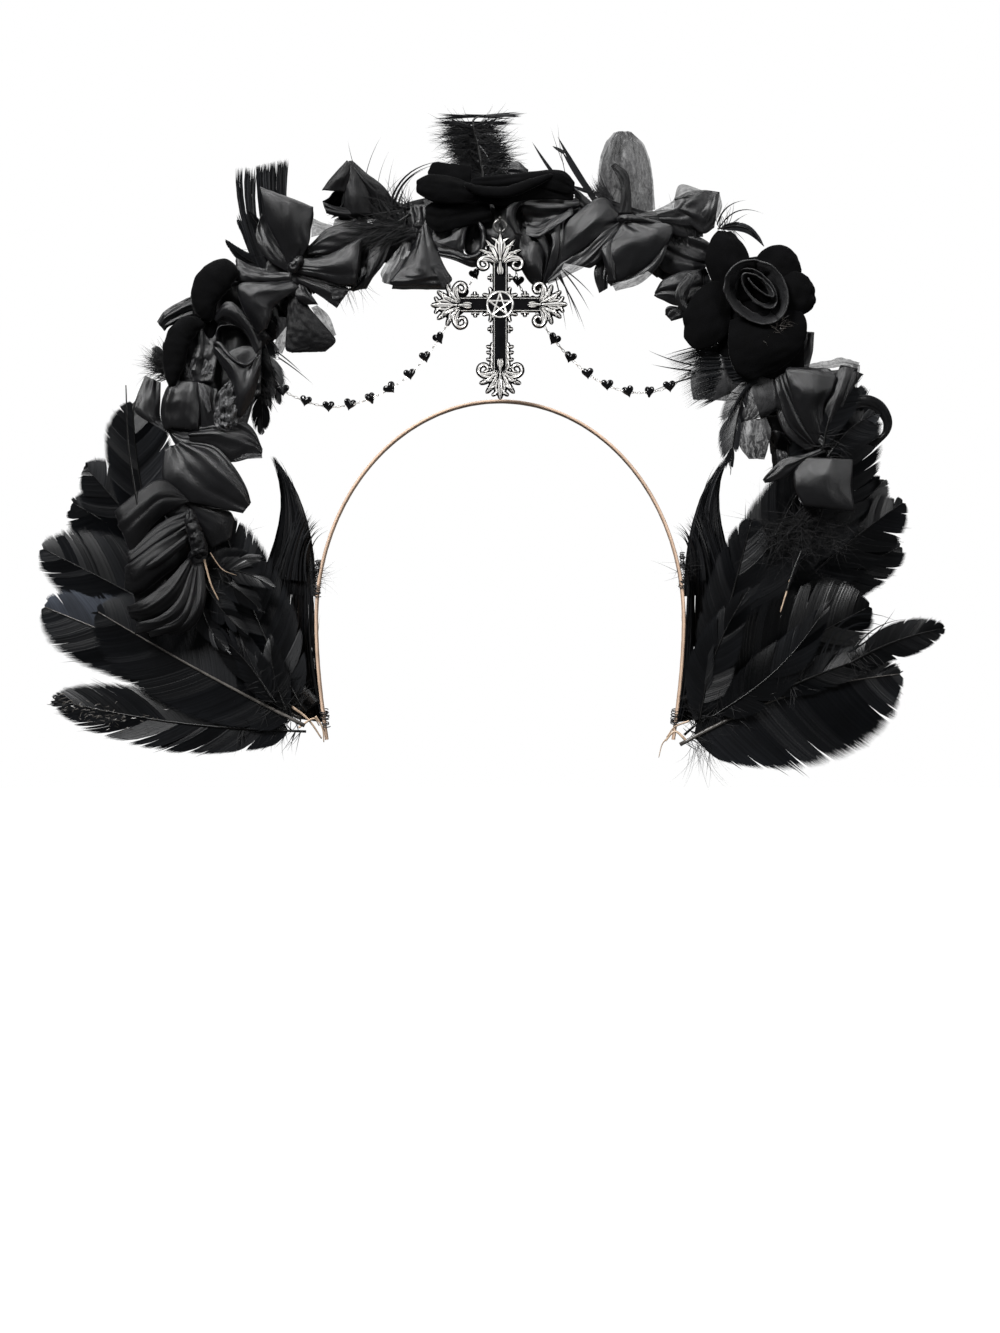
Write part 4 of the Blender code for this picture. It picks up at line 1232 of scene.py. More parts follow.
def bar(x0, x1, z0, z1, back, front, bevel, material):
    """A bar between two corners, with a bevelled front."""
    corners = np.array([(x0, z0), (x1, z0), (x1, z1), (x0, z1)], float)
    inset = np.array([(1, 1), (-1, 1), (-1, -1), (1, -1)]) * bevel
    levels = ((back, 0), (front + bevel, 0), (front, 1))
    return raised("bar", lambda k: corners + inset * k, levels, material, 20, 0.35)


def grains(places, radius, front):
    """Grains of silver, as copies of one small ball."""
    ball = bpy.data.meshes.new("grain")
    shape = bmesh.new()
    bmesh.ops.create_icosphere(shape, subdivisions=2, radius=1)
    shape.to_mesh(ball)
    shape.free()
    ball.shade_smooth()
    where = np.array([(x, front, z) for x, z in places]) * MM
    sizes = np.full((len(places), 3), radius * MM)
    upright = [np.eye(3).tolist()] * len(places)
    return place_copies("grains", where, upright, sizes, add_item("grain", ball), silver)


# %% Bars with enamel and rails
parts = [
    bar(-2.6, 2.8, 6, 66, -14.9, -16.9, 0.25, silver),
    bar(-23, 23, 37.6, 43.2, -14.95, -16.85, 0.25, silver),
    bar(-2.2, 2.4, 7, 64, -16.0, -17.15, 0.1, enamel),
    bar(-21, 21, 38.1, 42.6, -16.0, -17.12, 0.1, enamel),
]
for side in (-1, 1):
    for low, high in ((10, 35), (45.6, 58)):
        rail = np.stack([np.full(12, side * 2.5 + 0.1), np.linspace(low, high, 12)], 1)
        parts.append(cast(rail, np.full(12, 0.28), 0.5, -16.9))
    for z in (37.8, 43.0):
        rail = np.stack([side * np.linspace(5.4, 19, 12), np.full(12, z)], 1)
        parts.append(cast(rail, np.full(12, 0.3), 0.5, -16.9))

# %% Finials: root x and z, heading, reach, spread
MEDAL_Z = 40.35
FINIALS = [
    (0.1, 55.0, 90, 15.2, 1.0),
    (0.1, 15.4, -90, 15.2, 0.98),
    (-14.0, MEDAL_Z - 0.3, 180, 15.2, 1.0),
    (14.0, MEDAL_Z, 0, 14.4, 0.96),
]
# leaf: start along and across, heading, length, curl, width, height above the plate
FINIAL_LEAVES = [
    (3.4, 0, 0, 11.6, 0, 3.0, 0.7),
    (2.8, 0.7, 20, 11.0, 26, 2.5, 0.35),
    (2.8, 1.2, 38, 9.6, 48, 2.3, 0.2),
    (2.6, 1.6, 58, 7.6, 66, 2.1, 0.1),
    (6.2, 0.7, 26, 6.2, -56, 1.3, 0.8),
    (5.0, 1.2, 44, 5.6, -60, 1.3, 0.7),
    (8.4, 1.7, 40, 4.6, 84, 1.3, 0.8),
    (6.4, 2.9, 60, 4.4, 90, 1.3, 0.7),
    (10.0, 0.6, 24, 4.6, 60, 1.3, 0.8),
    (1.4, 0.9, 172, 3.6, 34, 1.0, 0.35),
]
FINIAL_SCROLLS = [
    (9.6, 1.4, 34, 4.6, -250, 0.42),
    (7.2, 3.4, 58, 4.4, -250, 0.4),
    (11.4, 0.6, 20, 3.4, -230, 0.34),
]
VOLUTE = [
    (4.2, 1.6), (5.4, 4.2), (5.2, 7.2), (3.4, 9.2), (1.2, 8.8),
    (0.4, 7.0), (1.4, 5.4), (3.0, 5.8), (3.1, 7.2),
]
PLATE_EDGE = [(0.5, 2.2), (3, 4.4), (7.5, 4.6), (11, 2.8), (14, 0.8)]
GRAINS = [(4.4, 0), (6.0, 2.2), (6.0, -2.2), (8.8, 3.4), (8.8, -3.4), (12.2, 1.7), (12.2, -1.7)]
dots = []
for x, z, heading, reach, spread in FINIALS:
    k = reach / 15
    turn = math.radians(heading)
    ahead, aside = np.array([(math.cos(turn), math.sin(turn)), (-math.sin(turn), math.cos(turn))])

    def at(u, w):
        """The place u along this finial and w across it."""
        return np.array([x, z]) + ahead * u * k + aside * w * spread

    for number, (u, w, angle, length, curl, width, rise) in enumerate(FINIAL_LEAVES):
        for side in (1, -1) if number else (1,):
            ways = (*at(u, side * w), heading + side * angle, length * k)
            parts.append(leaf(*ways, width, side * curl, 0.75, CAST_FRONT - rise))
    for u, w, angle, length, curl, thick in FINIAL_SCROLLS:
        for side in (1, -1):
            ways = (*at(u, side * w), heading + side * angle, length * spread)
            parts.append(scroll(*ways, side * curl, thick))
    for side in (1, -1):
        parts.append(volute([at(u, side * w) for u, w in VOLUTE], 0.72))
    plate = [at(u, w) for u, w in PLATE_EDGE] + [at(u, -w) for u, w in reversed(PLATE_EDGE)]
    # The plate behind the leaves is darkened: partly tarnish, partly painted shade.
    parts.append(raised("plate", lambda _: plate, ((-15.2, 0), (-16.7, 0)), silver, 20, TARNISH_AND_SHADE))
    dots += [tuple(at(u, w)) for u, w in GRAINS]
    # A pointed leaf lies back over the enamel.
    parts.append(leaf(*at(4.4, 0), heading + 180, 6.6, 2.0, 0, 0.7, CAST_FRONT - 0.3))

# %% Medallion with its five-pointed star
def round_medal(radius, angles):
    """Places on a circle round the middle of the medallion."""
    return [(radius * math.cos(a), MEDAL_Z + radius * math.sin(a)) for a in angles]


around = np.radians(np.arange(24) * 15)
for radius, back, front, material in ((5.5, -15.0, -17.0, silver), (5.2, -16.5, -17.3, enamel)):
    levels = ((back, radius), (front, radius), (front - 0.08, radius * 0.95))
    parts.append(raised("medal", lambda size: round_medal(size, around), levels, material, 30, 0.2))
rim = round_medal(5.35, np.linspace(0, 2 * np.pi, 60))
parts.append(cast(rim, np.full(60, 0.68), 0.7, -17.2, 0.25))
points = round_medal(4.95, np.radians(90 + 144 * np.arange(6)))
for first, second in zip(points, points[1:]):
    parts.append(cast(np.linspace(first, second, 8), np.full(8, 0.6), 0.5, -17.35, 0.1))

# %% Leaves in the corners, crockets on the bars and sprigs beside the foot
for corner in (45, 135, 225, 315):
    (x, z), = round_medal(5.6, [math.radians(corner)])
    for side in (1, -1):
        parts.append(leaf(x, z, corner + side * 52, 3.6, 1.1, -side * 50, 0.5))
        parts.append(scroll(x, z, corner + side * 30, 3.2, side * 220, 0.32))
CROCKETS = [
    (-10.6, 43.6, 90), (-10.4, 37.2, -90), (10.5, 43.8, 90), (10.5, 37.4, -90),
    (-3.0, 51.6, 180), (3.2, 51.6, 0), (-3.0, 30.0, 180), (3.2, 30.0, 0),
]
for x, z, heading in CROCKETS:
    parts.append(leaf(x, z, heading, 2.4, 1.2, 0, 0.6))
    for side in (1, -1):
        parts.append(leaf(x, z, heading + side * 55, 1.9, 0.8, side * 60, 0.5))
for side in (1, -1):
    for z, length in ((12.5, 5.0), (15.6, 4.6), (18.6, 4.2), (21.0, 3.6)):
        parts.append(leaf(side * 2.9, z, 90 - side * 24, length, 1.3, side * 70, 0.6))
        parts.append(leaf(side * 3.4, z + 1.0, 90 - side * 60, 2.6, 1.0, -side * 60, 0.6))
balls = add_relief(grains(dots, 0.5, CAST_FRONT - 0.9), 1.0)
middle = np.array([0, CROSS_Y, 70.9]) * MM
eye = torus("bail_eye", 1.55 * MM, 0.5 * MM, silver, around=32, centre=middle, axis="X")
cross = join_pieces("filigree_cross", parts + [balls, add_relief(eye, PLAIN)])
dress(cross, ["cross_pendant"], "cross")

middle = np.array([0, CROSS_Y, 73.5]) * MM
ring = torus("jump_ring", 2.5 * MM, 0.6 * MM, silver, around=40, centre=middle)
dress(add_relief(ring, PLAIN), ["pendant_ring"], "ring")
# %% [markdown]
# ## Swags of glass hearts
# Two chains hang from the top of the hoop to its sides. The hearts are moulded black glass with
# pillowed faces, threaded on a fine chain of silver links. Both repeat along one line, so both
# are copies placed by the same tree: links roll a quarter turn each, hearts stay nearly
# upright and turn a little on the chain.

# %% Places of the hearts from the top outwards, in millimetres, as in the engineering model
HEARTS_LEFT = [
    (-10.6, 54.4), (-15.7, 45.9), (-21.0, 36.1), (-25.9, 27.2), (-31.7, 19.3), (-38.3, 11.9),
    (-46.5, 6.0), (-54.9, 1.8), (-63.8, -0.9), (-72.8, -1.7), (-82.6, 0.6), (-92.2, 5.1),
]
HEARTS_RIGHT = [
    (7.7, 51.4), (12.4, 43.2), (17.2, 34.9), (22.9, 26.8), (29.7, 19.1),
    (37.2, 12.3), (45.5, 7.4), (54.4, 4.6), (63.4, 4.5), (72.0, 6.8),
]
SWAGS = {
    "left": (HEARTS_LEFT, [(-5, 5, 78.2), (-7, 0, 67)], [(-98, 0, 9), (-101.6, 5, 12.2)]),
    "right": (HEARTS_RIGHT, [(4.5, 5, 78.2), (5.5, 0, 66)], [(80, -2, 12), (97.4, 1.6, 24)]),
}
STRAND_Y = -2
LINK_PITCH = 1.55 * MM
LEAN_TOP, LEAN_END = 0.45, -0.15


# %% One heart and one link
def heart_shape(width=5.5, thick=2.2, around=36):
    """A pillowed heart about its own middle, thin along Y. Its outline is 32 units wide."""
    t = 2 * np.pi * (np.arange(around) + 0.5) / around
    x = 16 * np.sin(t) ** 3
    z = 13 * np.cos(t) - 5 * np.cos(2 * t) - 2 * np.cos(3 * t) - np.cos(4 * t) + 2.5
    rings = []
    for share in np.linspace(-1, 1, 11):
        size = max(0.12, math.sqrt(1 - share**2)) ** 0.75 * width / 32
        rings.append(np.stack([x * size, 0 * x + share * thick / 2, z * size], 1))
    return loft("heart", np.array(rings) * MM, black_glass, sharp=50)


def link_shape():
    link = torus("link", 0.62 * MM, 0.19 * MM, silver, around=14, section=6)
    link.data.transform(Matrix.Diagonal((0.72, 1, 1.45, 1)))
    return link


# %% String them
for side, (hearts, top, end) in SWAGS.items():
    centres = np.array([(x, STRAND_Y, z) for x, z in hearts], float)
    route = np.concatenate([top, centres, end]) * MM
    fine = smooth_line(route, np.linspace(0, len(route) - 1, 900))
    travel = travel_along(fine)
    count = int(travel[-1] / LINK_PITCH)
    even = np.linspace(0, travel[-1], count)
    line = np.stack([np.interp(even, travel, fine[:, k]) for k in range(3)], 1)
    rolls = np.arange(count) * math.pi / 2 + 0.3
    turns = frames_along(line, rolls)
    links = place_copies(f"chain_{side}", line, turns, np.ones((count, 3)), link_shape(), silver)
    dress(add_relief(links, RUBBED), [f"strand_{side}"])
    rng = np.random.default_rng(len(hearts))
    lean = np.interp(np.arange(len(centres)), [0, len(centres)], [LEAN_TOP, LEAN_END])
    lean *= 1 if side == "left" else -1
    turns = [
        Matrix.Rotation(a + rng.normal(0, 0.3), 3, "Y") @ Matrix.Rotation(rng.normal(0, 0.45), 3, "Z")
        for a in -lean
    ]
    sizes = np.repeat(rng.uniform(0.93, 1.05, (len(centres), 1)), 3, axis=1)
    strung = place_copies(f"glass_hearts_{side}", centres * MM, turns, sizes, heart_shape(), black_glass)
    dress(strung, [f"bead_{side}_{number:02d}" for number in range(1, len(hearts) + 1)])
# %% [markdown]
# ## Bows, buds and folded satin
# A bow is a ribbon pinched at its knot: each part of it fans out of the pinch, and its pleats
# start there and die out. The table of each part holds its ribs, the lines across the ribbon
# from one edge to the other, in order from the pinch to the tip. A smooth surface runs through
# the ribs, bulges between its edges, and takes its folds along the ribbon. A loop also turns
# over at its tip and comes back behind itself. The parts of one bow are sewn into one piece,
# because on the real crown they are one length of ribbon.

# %% Panels, pads and hollows. Their tables are in millimetres
# where a fold may lie across the cloth, how far it may drift, and how wide it may be
FOLD_RANGES = ((-0.85, 0.85), (-0.3, 0.3), (0.09, 0.26))


def panel_rows(ribs, seed, back=0.0, folds=5, height=0.75, fade=0.55, wrinkle=0.3, grain=12.0,
               per_rib=9, wide=24):
    """Rows through ribs: x and z of one edge, x and z of the other, depth, bulge, and any tilt."""
    ribs = [np.array((*rib, 0)[:7], float) for rib in ribs]
    if back:
        behind = np.array([0, 0, 0, 0, back, 0, 0.0])
        tip, root = ribs[-1], ribs[0]
        inside = (0.55 * tip + 0.45 * ribs[-2]) * [1, 1, 1, 1, 1, -0.4, 1] + behind
        turned = tip * [1, 1, 1, 1, 1, 0.2, 1] + behind / 2
        ribs += [turned, inside, (ribs[-2] + root) / 2 + behind * 0.8]
    ribs = np.array(ribs)
    t = np.linspace(0, len(ribs) - 1, per_rib * (len(ribs) - 1) + 1)
    x0, z0, x1, z1, y, bulge, tilt = smooth_line(ribs, t).T[:, :, None]
    u = t[:, None] / t[-1]
    v = np.linspace(-1, 1, wide)[None, :]
    a, b = (1 - v) / 2, (1 + v) / 2
    rows = [x0 * a + x1 * b, y + tilt * v / 2 - bulge * (1 - v**2), z0 * a + z1 * b]
    rows = np.stack(rows, -1) * MM
    normal = unit(np.cross(np.gradient(rows, axis=0), np.gradient(rows, axis=1)) + 1e-12)
    normal *= np.sign(-normal[..., 1:2] + 1e-9)
    rng = np.random.default_rng(seed)
    span = np.linalg.norm(rows[:, -1] - rows[:, 0], axis=1)[:, None] / MM
    rise = 0 * v * u
    for _ in range(folds):
        middle, drift, width = (rng.uniform(*ends) for ends in FOLD_RANGES)
        size, end = height * rng.uniform(-1.2, 1.0), fade * rng.uniform(0.5, 1.3)
        rise += size * np.exp(-(((v - middle - drift * u) / width) ** 2)) * np.exp(-((u / end) ** 2))
    place = np.stack([6 * t[-1] * u + 0 * v, 9 * v + 0 * u, 0 * u * v + seed], -1)
    rise += wrinkle * crease(place, grain, seed, False)
    rise += 0.6 * wrinkle * crease(place, grain * 0.5, seed + 9)
    return rows + normal * (rise * np.minimum(1, span / 7) * MM)[..., None]


def pad_rows(line, depth, seed, height=0.4, grain=4.0, per_point=10, wide=22):
    """A closed, padded roll along a line of points: x, z, depth and half width."""
    line = np.array(line, float)
    t = np.linspace(0, len(line) - 1, per_point * (len(line) - 1) + 1)
    x, z, y, half = smooth_line(line, t).T
    centre = np.stack([x, y, z], -1) * MM
    side = unit(np.cross(unit(np.gradient(centre, axis=0)), FORWARD))
    end = np.sqrt(np.clip(1 - np.abs(2 * t / t[-1] - 1) ** 6, 0.0004, 1))
    a = np.linspace(0, 2 * np.pi, wide)[None, :, None]
    out = side[:, None] * np.cos(a) * (half * end * MM)[:, None, None]
    out = out - FORWARD * np.sin(a) * (depth * end * MM)[:, None, None]
    rows = centre[:, None] + out
    return rows + unit(out) * (height * end[:, None] * MM * crease(rows, grain * MM, seed))[..., None]


# share of the rim's size, and how far back, at each step down a hollow
HOLLOW = [(1.0, 0.0), (0.97, 0.35), (0.9, 0.7), (0.7, 1.0), (0.35, 1.1), (0.01, 1.12)]


def hollow_rows(rim, depth, wide=40):
    """The dark inside of a loop: its rim (x, z, y) and a wall that runs back and closes."""
    rim = np.array([*rim, rim[0]], float)
    edge = smooth_line(rim, np.linspace(0, len(rim) - 1, wide))
    edge[-1] = edge[0]
    middle = edge[:-1].mean(0)
    rows = [middle + (edge - middle) * share + [0, 0, depth * back] for share, back in HOLLOW]
    return np.array(rows)[..., [0, 2, 1]] * MM


def sew_panels(name, panels, pads=(), hollows=(), finish=black_satin, slot="black_satin", wall=0.3,
               nodes=()):
    """One piece of cloth. Each row holds its places, and then its other values by name."""
    rows, first = [], len(name) * 3
    for seed, (*ribs, more) in enumerate(panels, first):
        rows.append(panel_rows(ribs, **{"seed": seed, **more}))
    for seed, (*line, depth, more) in enumerate(pads, first):
        rows.append(pad_rows(line, depth, **{"seed": seed, **more}))
    rows += [hollow_rows(rim, depth) for *rim, depth in hollows]
    return sew(name, [cloth(name, grid, finish) for grid in rows], wall, nodes)


# %% The bow on the left
sew_panels("bow_left_ribbon", [
    [(-89, 56, -84, 61, -10, 0.3), (-93, 65, -80.7, 67, -11, 1.6), (-98.5, 76, -79.5, 74, -12, 2.5),
     (-101.2, 89, -79, 81.3, -12.5, 1.5, 1), {"back": 9, "folds": 2, "height": 0.5}],
    [(-90, 55, -88, 57, -8, 0.2), (-99, 61, -92, 65.5, -8, 1), (-103.3, 69, -97, 73, -7, 1, 2),
     (-102, 77, -101, 80, -6, 0.3, 2), {"folds": 2}],
    [(-88, 51.5, -88, 54.5, -9.5, 0.3), (-98, 50.5, -98, 55.3, -9, 1.2, 1),
     (-105, 50.7, -105, 57, -8.5, 1.5, 2), (-111.3, 51.2, -111, 60.5, -8, 0.8, 2),
     {"back": 6, "folds": 3, "height": 0.6}],
    [(-88, 50.8, -85, 48.5, -10, 0.3), (-100, 50.3, -90, 44.5, -11, 1.6),
     (-110.6, 49, -95, 40.5, -11, 2.6, 1), (-108.5, 39, -97, 35, -10.5, 2.4, 1),
     (-102.5, 28.5, -98.5, 31, -9.5, 0.8), {"folds": 2, "height": 0.4}],
    [(-86.5, 54.5, -83.5, 60.3, -11, 0.5), (-78, 52.3, -76, 60.8, -12, 2.2),
     (-69, 49.2, -67.5, 64.5, -12.5, 2.8), (-61.5, 49, -59.3, 68.5, -12, 1.2),
     {"back": 8, "folds": 3, "height": 0.5, "seed": 8}],
    [(-86.5, 51, -85, 54, -9.5, 0.3), (-79.5, 47, -76, 51.5, -9.5, 1),
     (-73.5, 42.8, -67, 49.3, -9, 1.2), (-69, 39.6, -63.5, 47.5, -8.5, 0.5), {"folds": 3}],
    [(-85, 50, -82.5, 49, -9, 0), (-86.5, 45, -79, 44, -10, 1.6), (-83, 41, -77, 41, -9, 1),
     {"folds": 2}],
    [(-101, 52, -97, 66, -4, 1), (-92, 46, -88, 68, -4, 1), (-82, 40, -78, 66, -4, 1),
     {"folds": 5, "fade": 2}],
    [(-82, 62, -81, 66, -7, 0.5), (-74, 62.5, -74, 73, -6, 1), (-64, 65, -66, 76, -5, 1),
     (-57, 66, -56, 79, -4, 1), {"folds": 4}],
], pads=[
    [(-88.8, 54.5, -12.2, 1.7), (-86.5, 57.5, -13, 2), (-83.7, 61.2, -12, 1.3), 1.6, {"grain": 2}],
], nodes=["bow_left"])
sew_panels("bow_left_crepe", [
    [(-89.4, 45, -83, 44, -8, 0.5), (-90, 38, -79.5, 38.5, -7.5, 1), (-90.5, 29, -73, 31, -7, 1.6),
     (-90.7, 22.3, -69.6, 25.8, -6.5, 1.2), (-88, 20.9, -74, 21.3, -6.2, 0.4),
     {"wrinkle": 0.16, "grain": 2, "folds": 2, "height": 0.3}],
], finish=dull_satin)
sew_panels("bow_left_sheer", [
    [(-97, 36.5, -88, 35.5, -6, 0.5), (-95, 30, -89, 29, -5.5, 0.6), (-95.8, 22, -92.3, 20.5, -5, 0.3),
     {}],
    [(-80, 40, -77.5, 41, -6, 0.3), (-76, 33.5, -72.5, 36.5, -5.5, 0.4),
     (-71.5, 27.5, -69.4, 28.5, -5, 0.2), {}],
    [(-72, 48.3, -70.5, 42.5, -10, 0.3), (-67.5, 48.5, -67, 43, -9.7, 0.8),
     (-63.5, 47.5, -66, 44.2, -9, 0.2), {}],
    [(-80, 70, -80, 78.5, -4, 0.3), (-76, 71, -76, 76.5, -4, 0.5), (-71, 72, -71, 75.3, -4, 0.2), {}],
    [(-71, 74.5, -70, 77.6, -4, 0.2), (-62, 75, -62, 78.5, -3.5, 0.5), (-52, 77.8, -52, 80.2, -3, 0.2),
     {}],
    [(-60.5, 50, -57, 55, -11, 0.2), (-59, 52.5, -56.2, 54.5, -11, 0.4), (-58.5, 56, -57, 57, -11, 0),
     {}],
], finish=organza, wall=0)

# %% The bud, the cone and the round sheer loop on the upper left
sew_panels("folded_bud", [
    [(-68, 79, -54, 79.2, -5, 3), (-66.8, 86, -55.5, 88, -6.5, 3), (-66, 93.5, -59, 95.5, -7, 1.8),
     (-64.6, 101.8, -62.9, 102.2, -6.5, 0.2), {"folds": 4, "height": 0.8}],
    [(-75.2, 89.4, -65.5, 88.5, -8, 1.5), (-71, 95, -63.8, 95, -8.5, 2),
     (-64.8, 102.3, -63.2, 101, -7, 0.2), {"folds": 2, "height": 0.5}],
    [(-64, 101.8, -62.6, 102.2, -6, 0.1), (-59.5, 93.5, -56, 96.3, -6.5, 1.5, 1),
     (-53.5, 86, -49.5, 91, -5.5, 1.8, 1), (-49, 81.5, -44.5, 84.5, -4, 0.8),
     {"folds": 4, "height": 0.9}],
    [(-75, 84.5, -73.5, 79.8, -8, 0.8), (-69, 82.5, -68, 78.2, -8, 1.2), (-60, 82, -60, 78, -6, 1),
     {"folds": 2}],
    [(-60, 78, -58, 92, -3, 1), (-52, 78, -51, 89, -2.5, 1), (-44, 79, -43.5, 84, -2, 0.5),
     {"folds": 4}],
], hollows=[
    [(-75, 84.8, -8), (-72.5, 86.2, -8), (-70, 89, -8), (-66.6, 89, -8), (-66.4, 84, -8),
     (-69, 81.5, -8), (-73.5, 81.2, -8), 7],
], finish=dull_satin, nodes=["satin_bud"])
sew_panels("cone_loop", [
    [(-34, 74, -31.7, 77.3, -5, 0.2), (-37.5, 64, -28, 67, -7, 2.4), (-41.3, 57, -23.9, 57.8, -8, 3),
     (-44.8, 53, -21, 53.6, -8.5, 2.8), (-46.6, 50.4, -20.4, 51.2, -8.5, 2.2),
     (-45, 49.2, -23.4, 48.4, -8, 1.2), {"back": 9, "folds": 3, "height": 0.6}],
    [(-39, 83.2, -31, 83.2, -4, 0.8), (-38, 76, -32, 76, -4.5, 0.8), (-37.5, 66, -34.8, 70, -4.5, 0.3),
     {"folds": 3}],
    [(-60, 67, -45.5, 68.5, -4, 1.5), (-60.3, 59, -49, 59, -5, 2), (-60.5, 52, -54.3, 52.5, -5, 1.5),
     (-64, 48, -57, 48.6, -4.5, 0.6), {"back": 5, "folds": 5}],
    [(-48, 80, -36, 82, -2, 1), (-49, 72, -36, 72, -2.5, 1.5), (-47, 66, -37, 64, -2, 1), {"folds": 5}],
], nodes=["ribbon_loop_top_left"])
sew_panels("round_sheer_loop", [
    [(-41.5, 67.5, -37.8, 67.5, -5.5, 0.5), (-46, 61.5, -37, 60.5, -6.5, 1.5),
     (-50.4, 55, -40.3, 53.6, -6.8, 1.8), (-49.4, 51, -44, 49.6, -6, 0.6), {"back": 4, "folds": 3}],
    [(-29, 57.3, -25.5, 58, -11, 0), (-26.5, 53, -22.5, 54, -11, 0.4),
     (-24.6, 48, -20.6, 48.4, -10.8, 0.3), {}],
], finish=organza, wall=0)

# %% Cup, square loop and leaves on the left
sew_panels("cup_and_leaves", [
    [(-121, 35, -119.5, 33, -13, 0.3), (-115.5, 41.7, -116.5, 33.4, -14.5, 1.5, 3),
     (-110.5, 39.6, -111, 31.6, -15.5, 1.5, 3), (-105, 31.5, -106.5, 27.5, -15.5, 1, 2),
     (-100.7, 22, -103, 19.5, -15, 0.4), {"folds": 2, "height": 0.5}],
    [(-120.8, 20.5, -120.2, 24, -15.5, 0.3, -1.5), (-117, 14.5, -116.6, 21.6, -17, 1.2, -2),
     (-113.3, 8, -111.5, 17, -17.5, 2, -2), (-110.3, -7, -107, 14.8, -17, 3, -1),
     (-104.5, 0, -103.6, 17.2, -16, 2.4, -1), (-100.7, 12.5, -100.9, 19.8, -15, 0.6),
     {"folds": 2, "height": 0.5, "wrinkle": 0.25}],
    [(-138.5, 8.6, -127.3, 8.2, -12, 1.5), (-141.5, 3, -126.8, 2, -13, 2.2),
     (-143.3, -4, -126.7, -4, -13, 2.2), (-142.3, -10.5, -127.2, -11.6, -12, 1.5),
     {"back": 8, "folds": 2, "height": 1.2, "fade": 2}],
    [(-150, 11, -143.5, 8, -9, 0.8), (-153, 3.5, -143.6, 1, -9.5, 1),
     (-154.3, -3.6, -143.5, -7, -9.5, 1), (-147, -9, -142, -12, -9, 0.5), {"folds": 2}],
    [(-127.4, 8.3, -119, 5, -12.5, 0.6), (-126.6, -2, -119.8, -3, -13, 1),
     (-126, -11.5, -115, -12.3, -12, 0.8), {"folds": 4}],
    [(-132, 33, -120, 31, -9, 1), (-132, 22, -119, 24, -10, 1.5), (-134, 14, -120.5, 15, -10.5, 1.2),
     (-134.5, 8, -121, 8, -11, 0.8), {"folds": 7, "height": 1.3, "wrinkle": 0.9, "fade": 2}],
    [(-127.5, 46.3, -128.5, 35.5, -7, 1), (-135, 42.7, -134, 34.5, -7.5, 1.5),
     (-142, 38.4, -140, 32, -7.5, 1), (-145.3, 34, -142, 30, -7, 0.4),
     {"folds": 6, "height": 1.2, "fade": 2}],
    [(-131.5, -18.5, -131, -11, -11, 1), (-122, -19.5, -119.5, -9.5, -12, 2),
     (-114, -25.5, -110, -7.4, -12, 2), (-105, -23.8, -103.6, -13, -11, 1.2),
     (-100.6, -23.2, -100.4, -20, -10.5, 0.3), {"folds": 6, "height": 1.2, "fade": 1.4}],
    [(-141.5, -20, -133, -16.5, -12.5, 0.6), (-142, -33.5, -120.5, -18.8, -14, 1.4, -2),
     (-133, -42, -112.5, -27, -14.5, 1.6, -3), (-120, -45, -107, -36, -14, 1.2, -2),
     (-108.5, -47.4, -104.9, -43, -13, 0.3), {"folds": 5, "height": 1.1, "wrinkle": 0.25, "fade": 1.5}],
    [(-141, -24, -134, -20, -9, 1), (-138, -40, -127, -42, -10, 1.5), (-126, -55, -113.6, -47, -9.5, 1),
     (-122, -62, -113.7, -58, -8, 0.5), {"folds": 5}],
    [(-101, 22, -101.5, 3, -7, 1), (-108, 24, -110, 0, -6, 1), (-118, 20, -118, 2, -6, 1),
     {"folds": 4}],
    [(-131, 46, -106, 54, -3, 1), (-134, 36, -101, 40, -4, 1), (-133, 22, -101, 24, -4, 1),
     (-130, 6, -103, 6, -4, 1), (-128, -14, -108, -12, -4, 1), {"folds": 7, "height": 1.2, "fade": 2}],
    [(-142, -9.5, -140.5, -13, -9.5, 0.5), (-136, -10, -135, -20.5, -10.5, 1.2),
     (-128, -10.5, -126, -22, -10.5, 1.2), {"folds": 4, "height": 0.8, "fade": 2}],
], pads=[
    [(-120.6, 23.5, -17, 0.6), (-118, 23.6, -18.6, 0.8), (-113, 17.9, -19.6, 0.7),
     (-107, 14.8, -19.4, 0.6), (-102.5, 18.4, -17, 0.5), 0.7, {"height": 0.1}],
], hollows=[
    [(-120, 24, -13), (-119, 31, -13), (-113, 32, -13), (-107, 29.5, -13), (-102, 22, -13),
     (-103.5, 16, -13), (-110, 14, -13), (-116, 18, -13), 8],
], nodes=["satin_flower_left"])
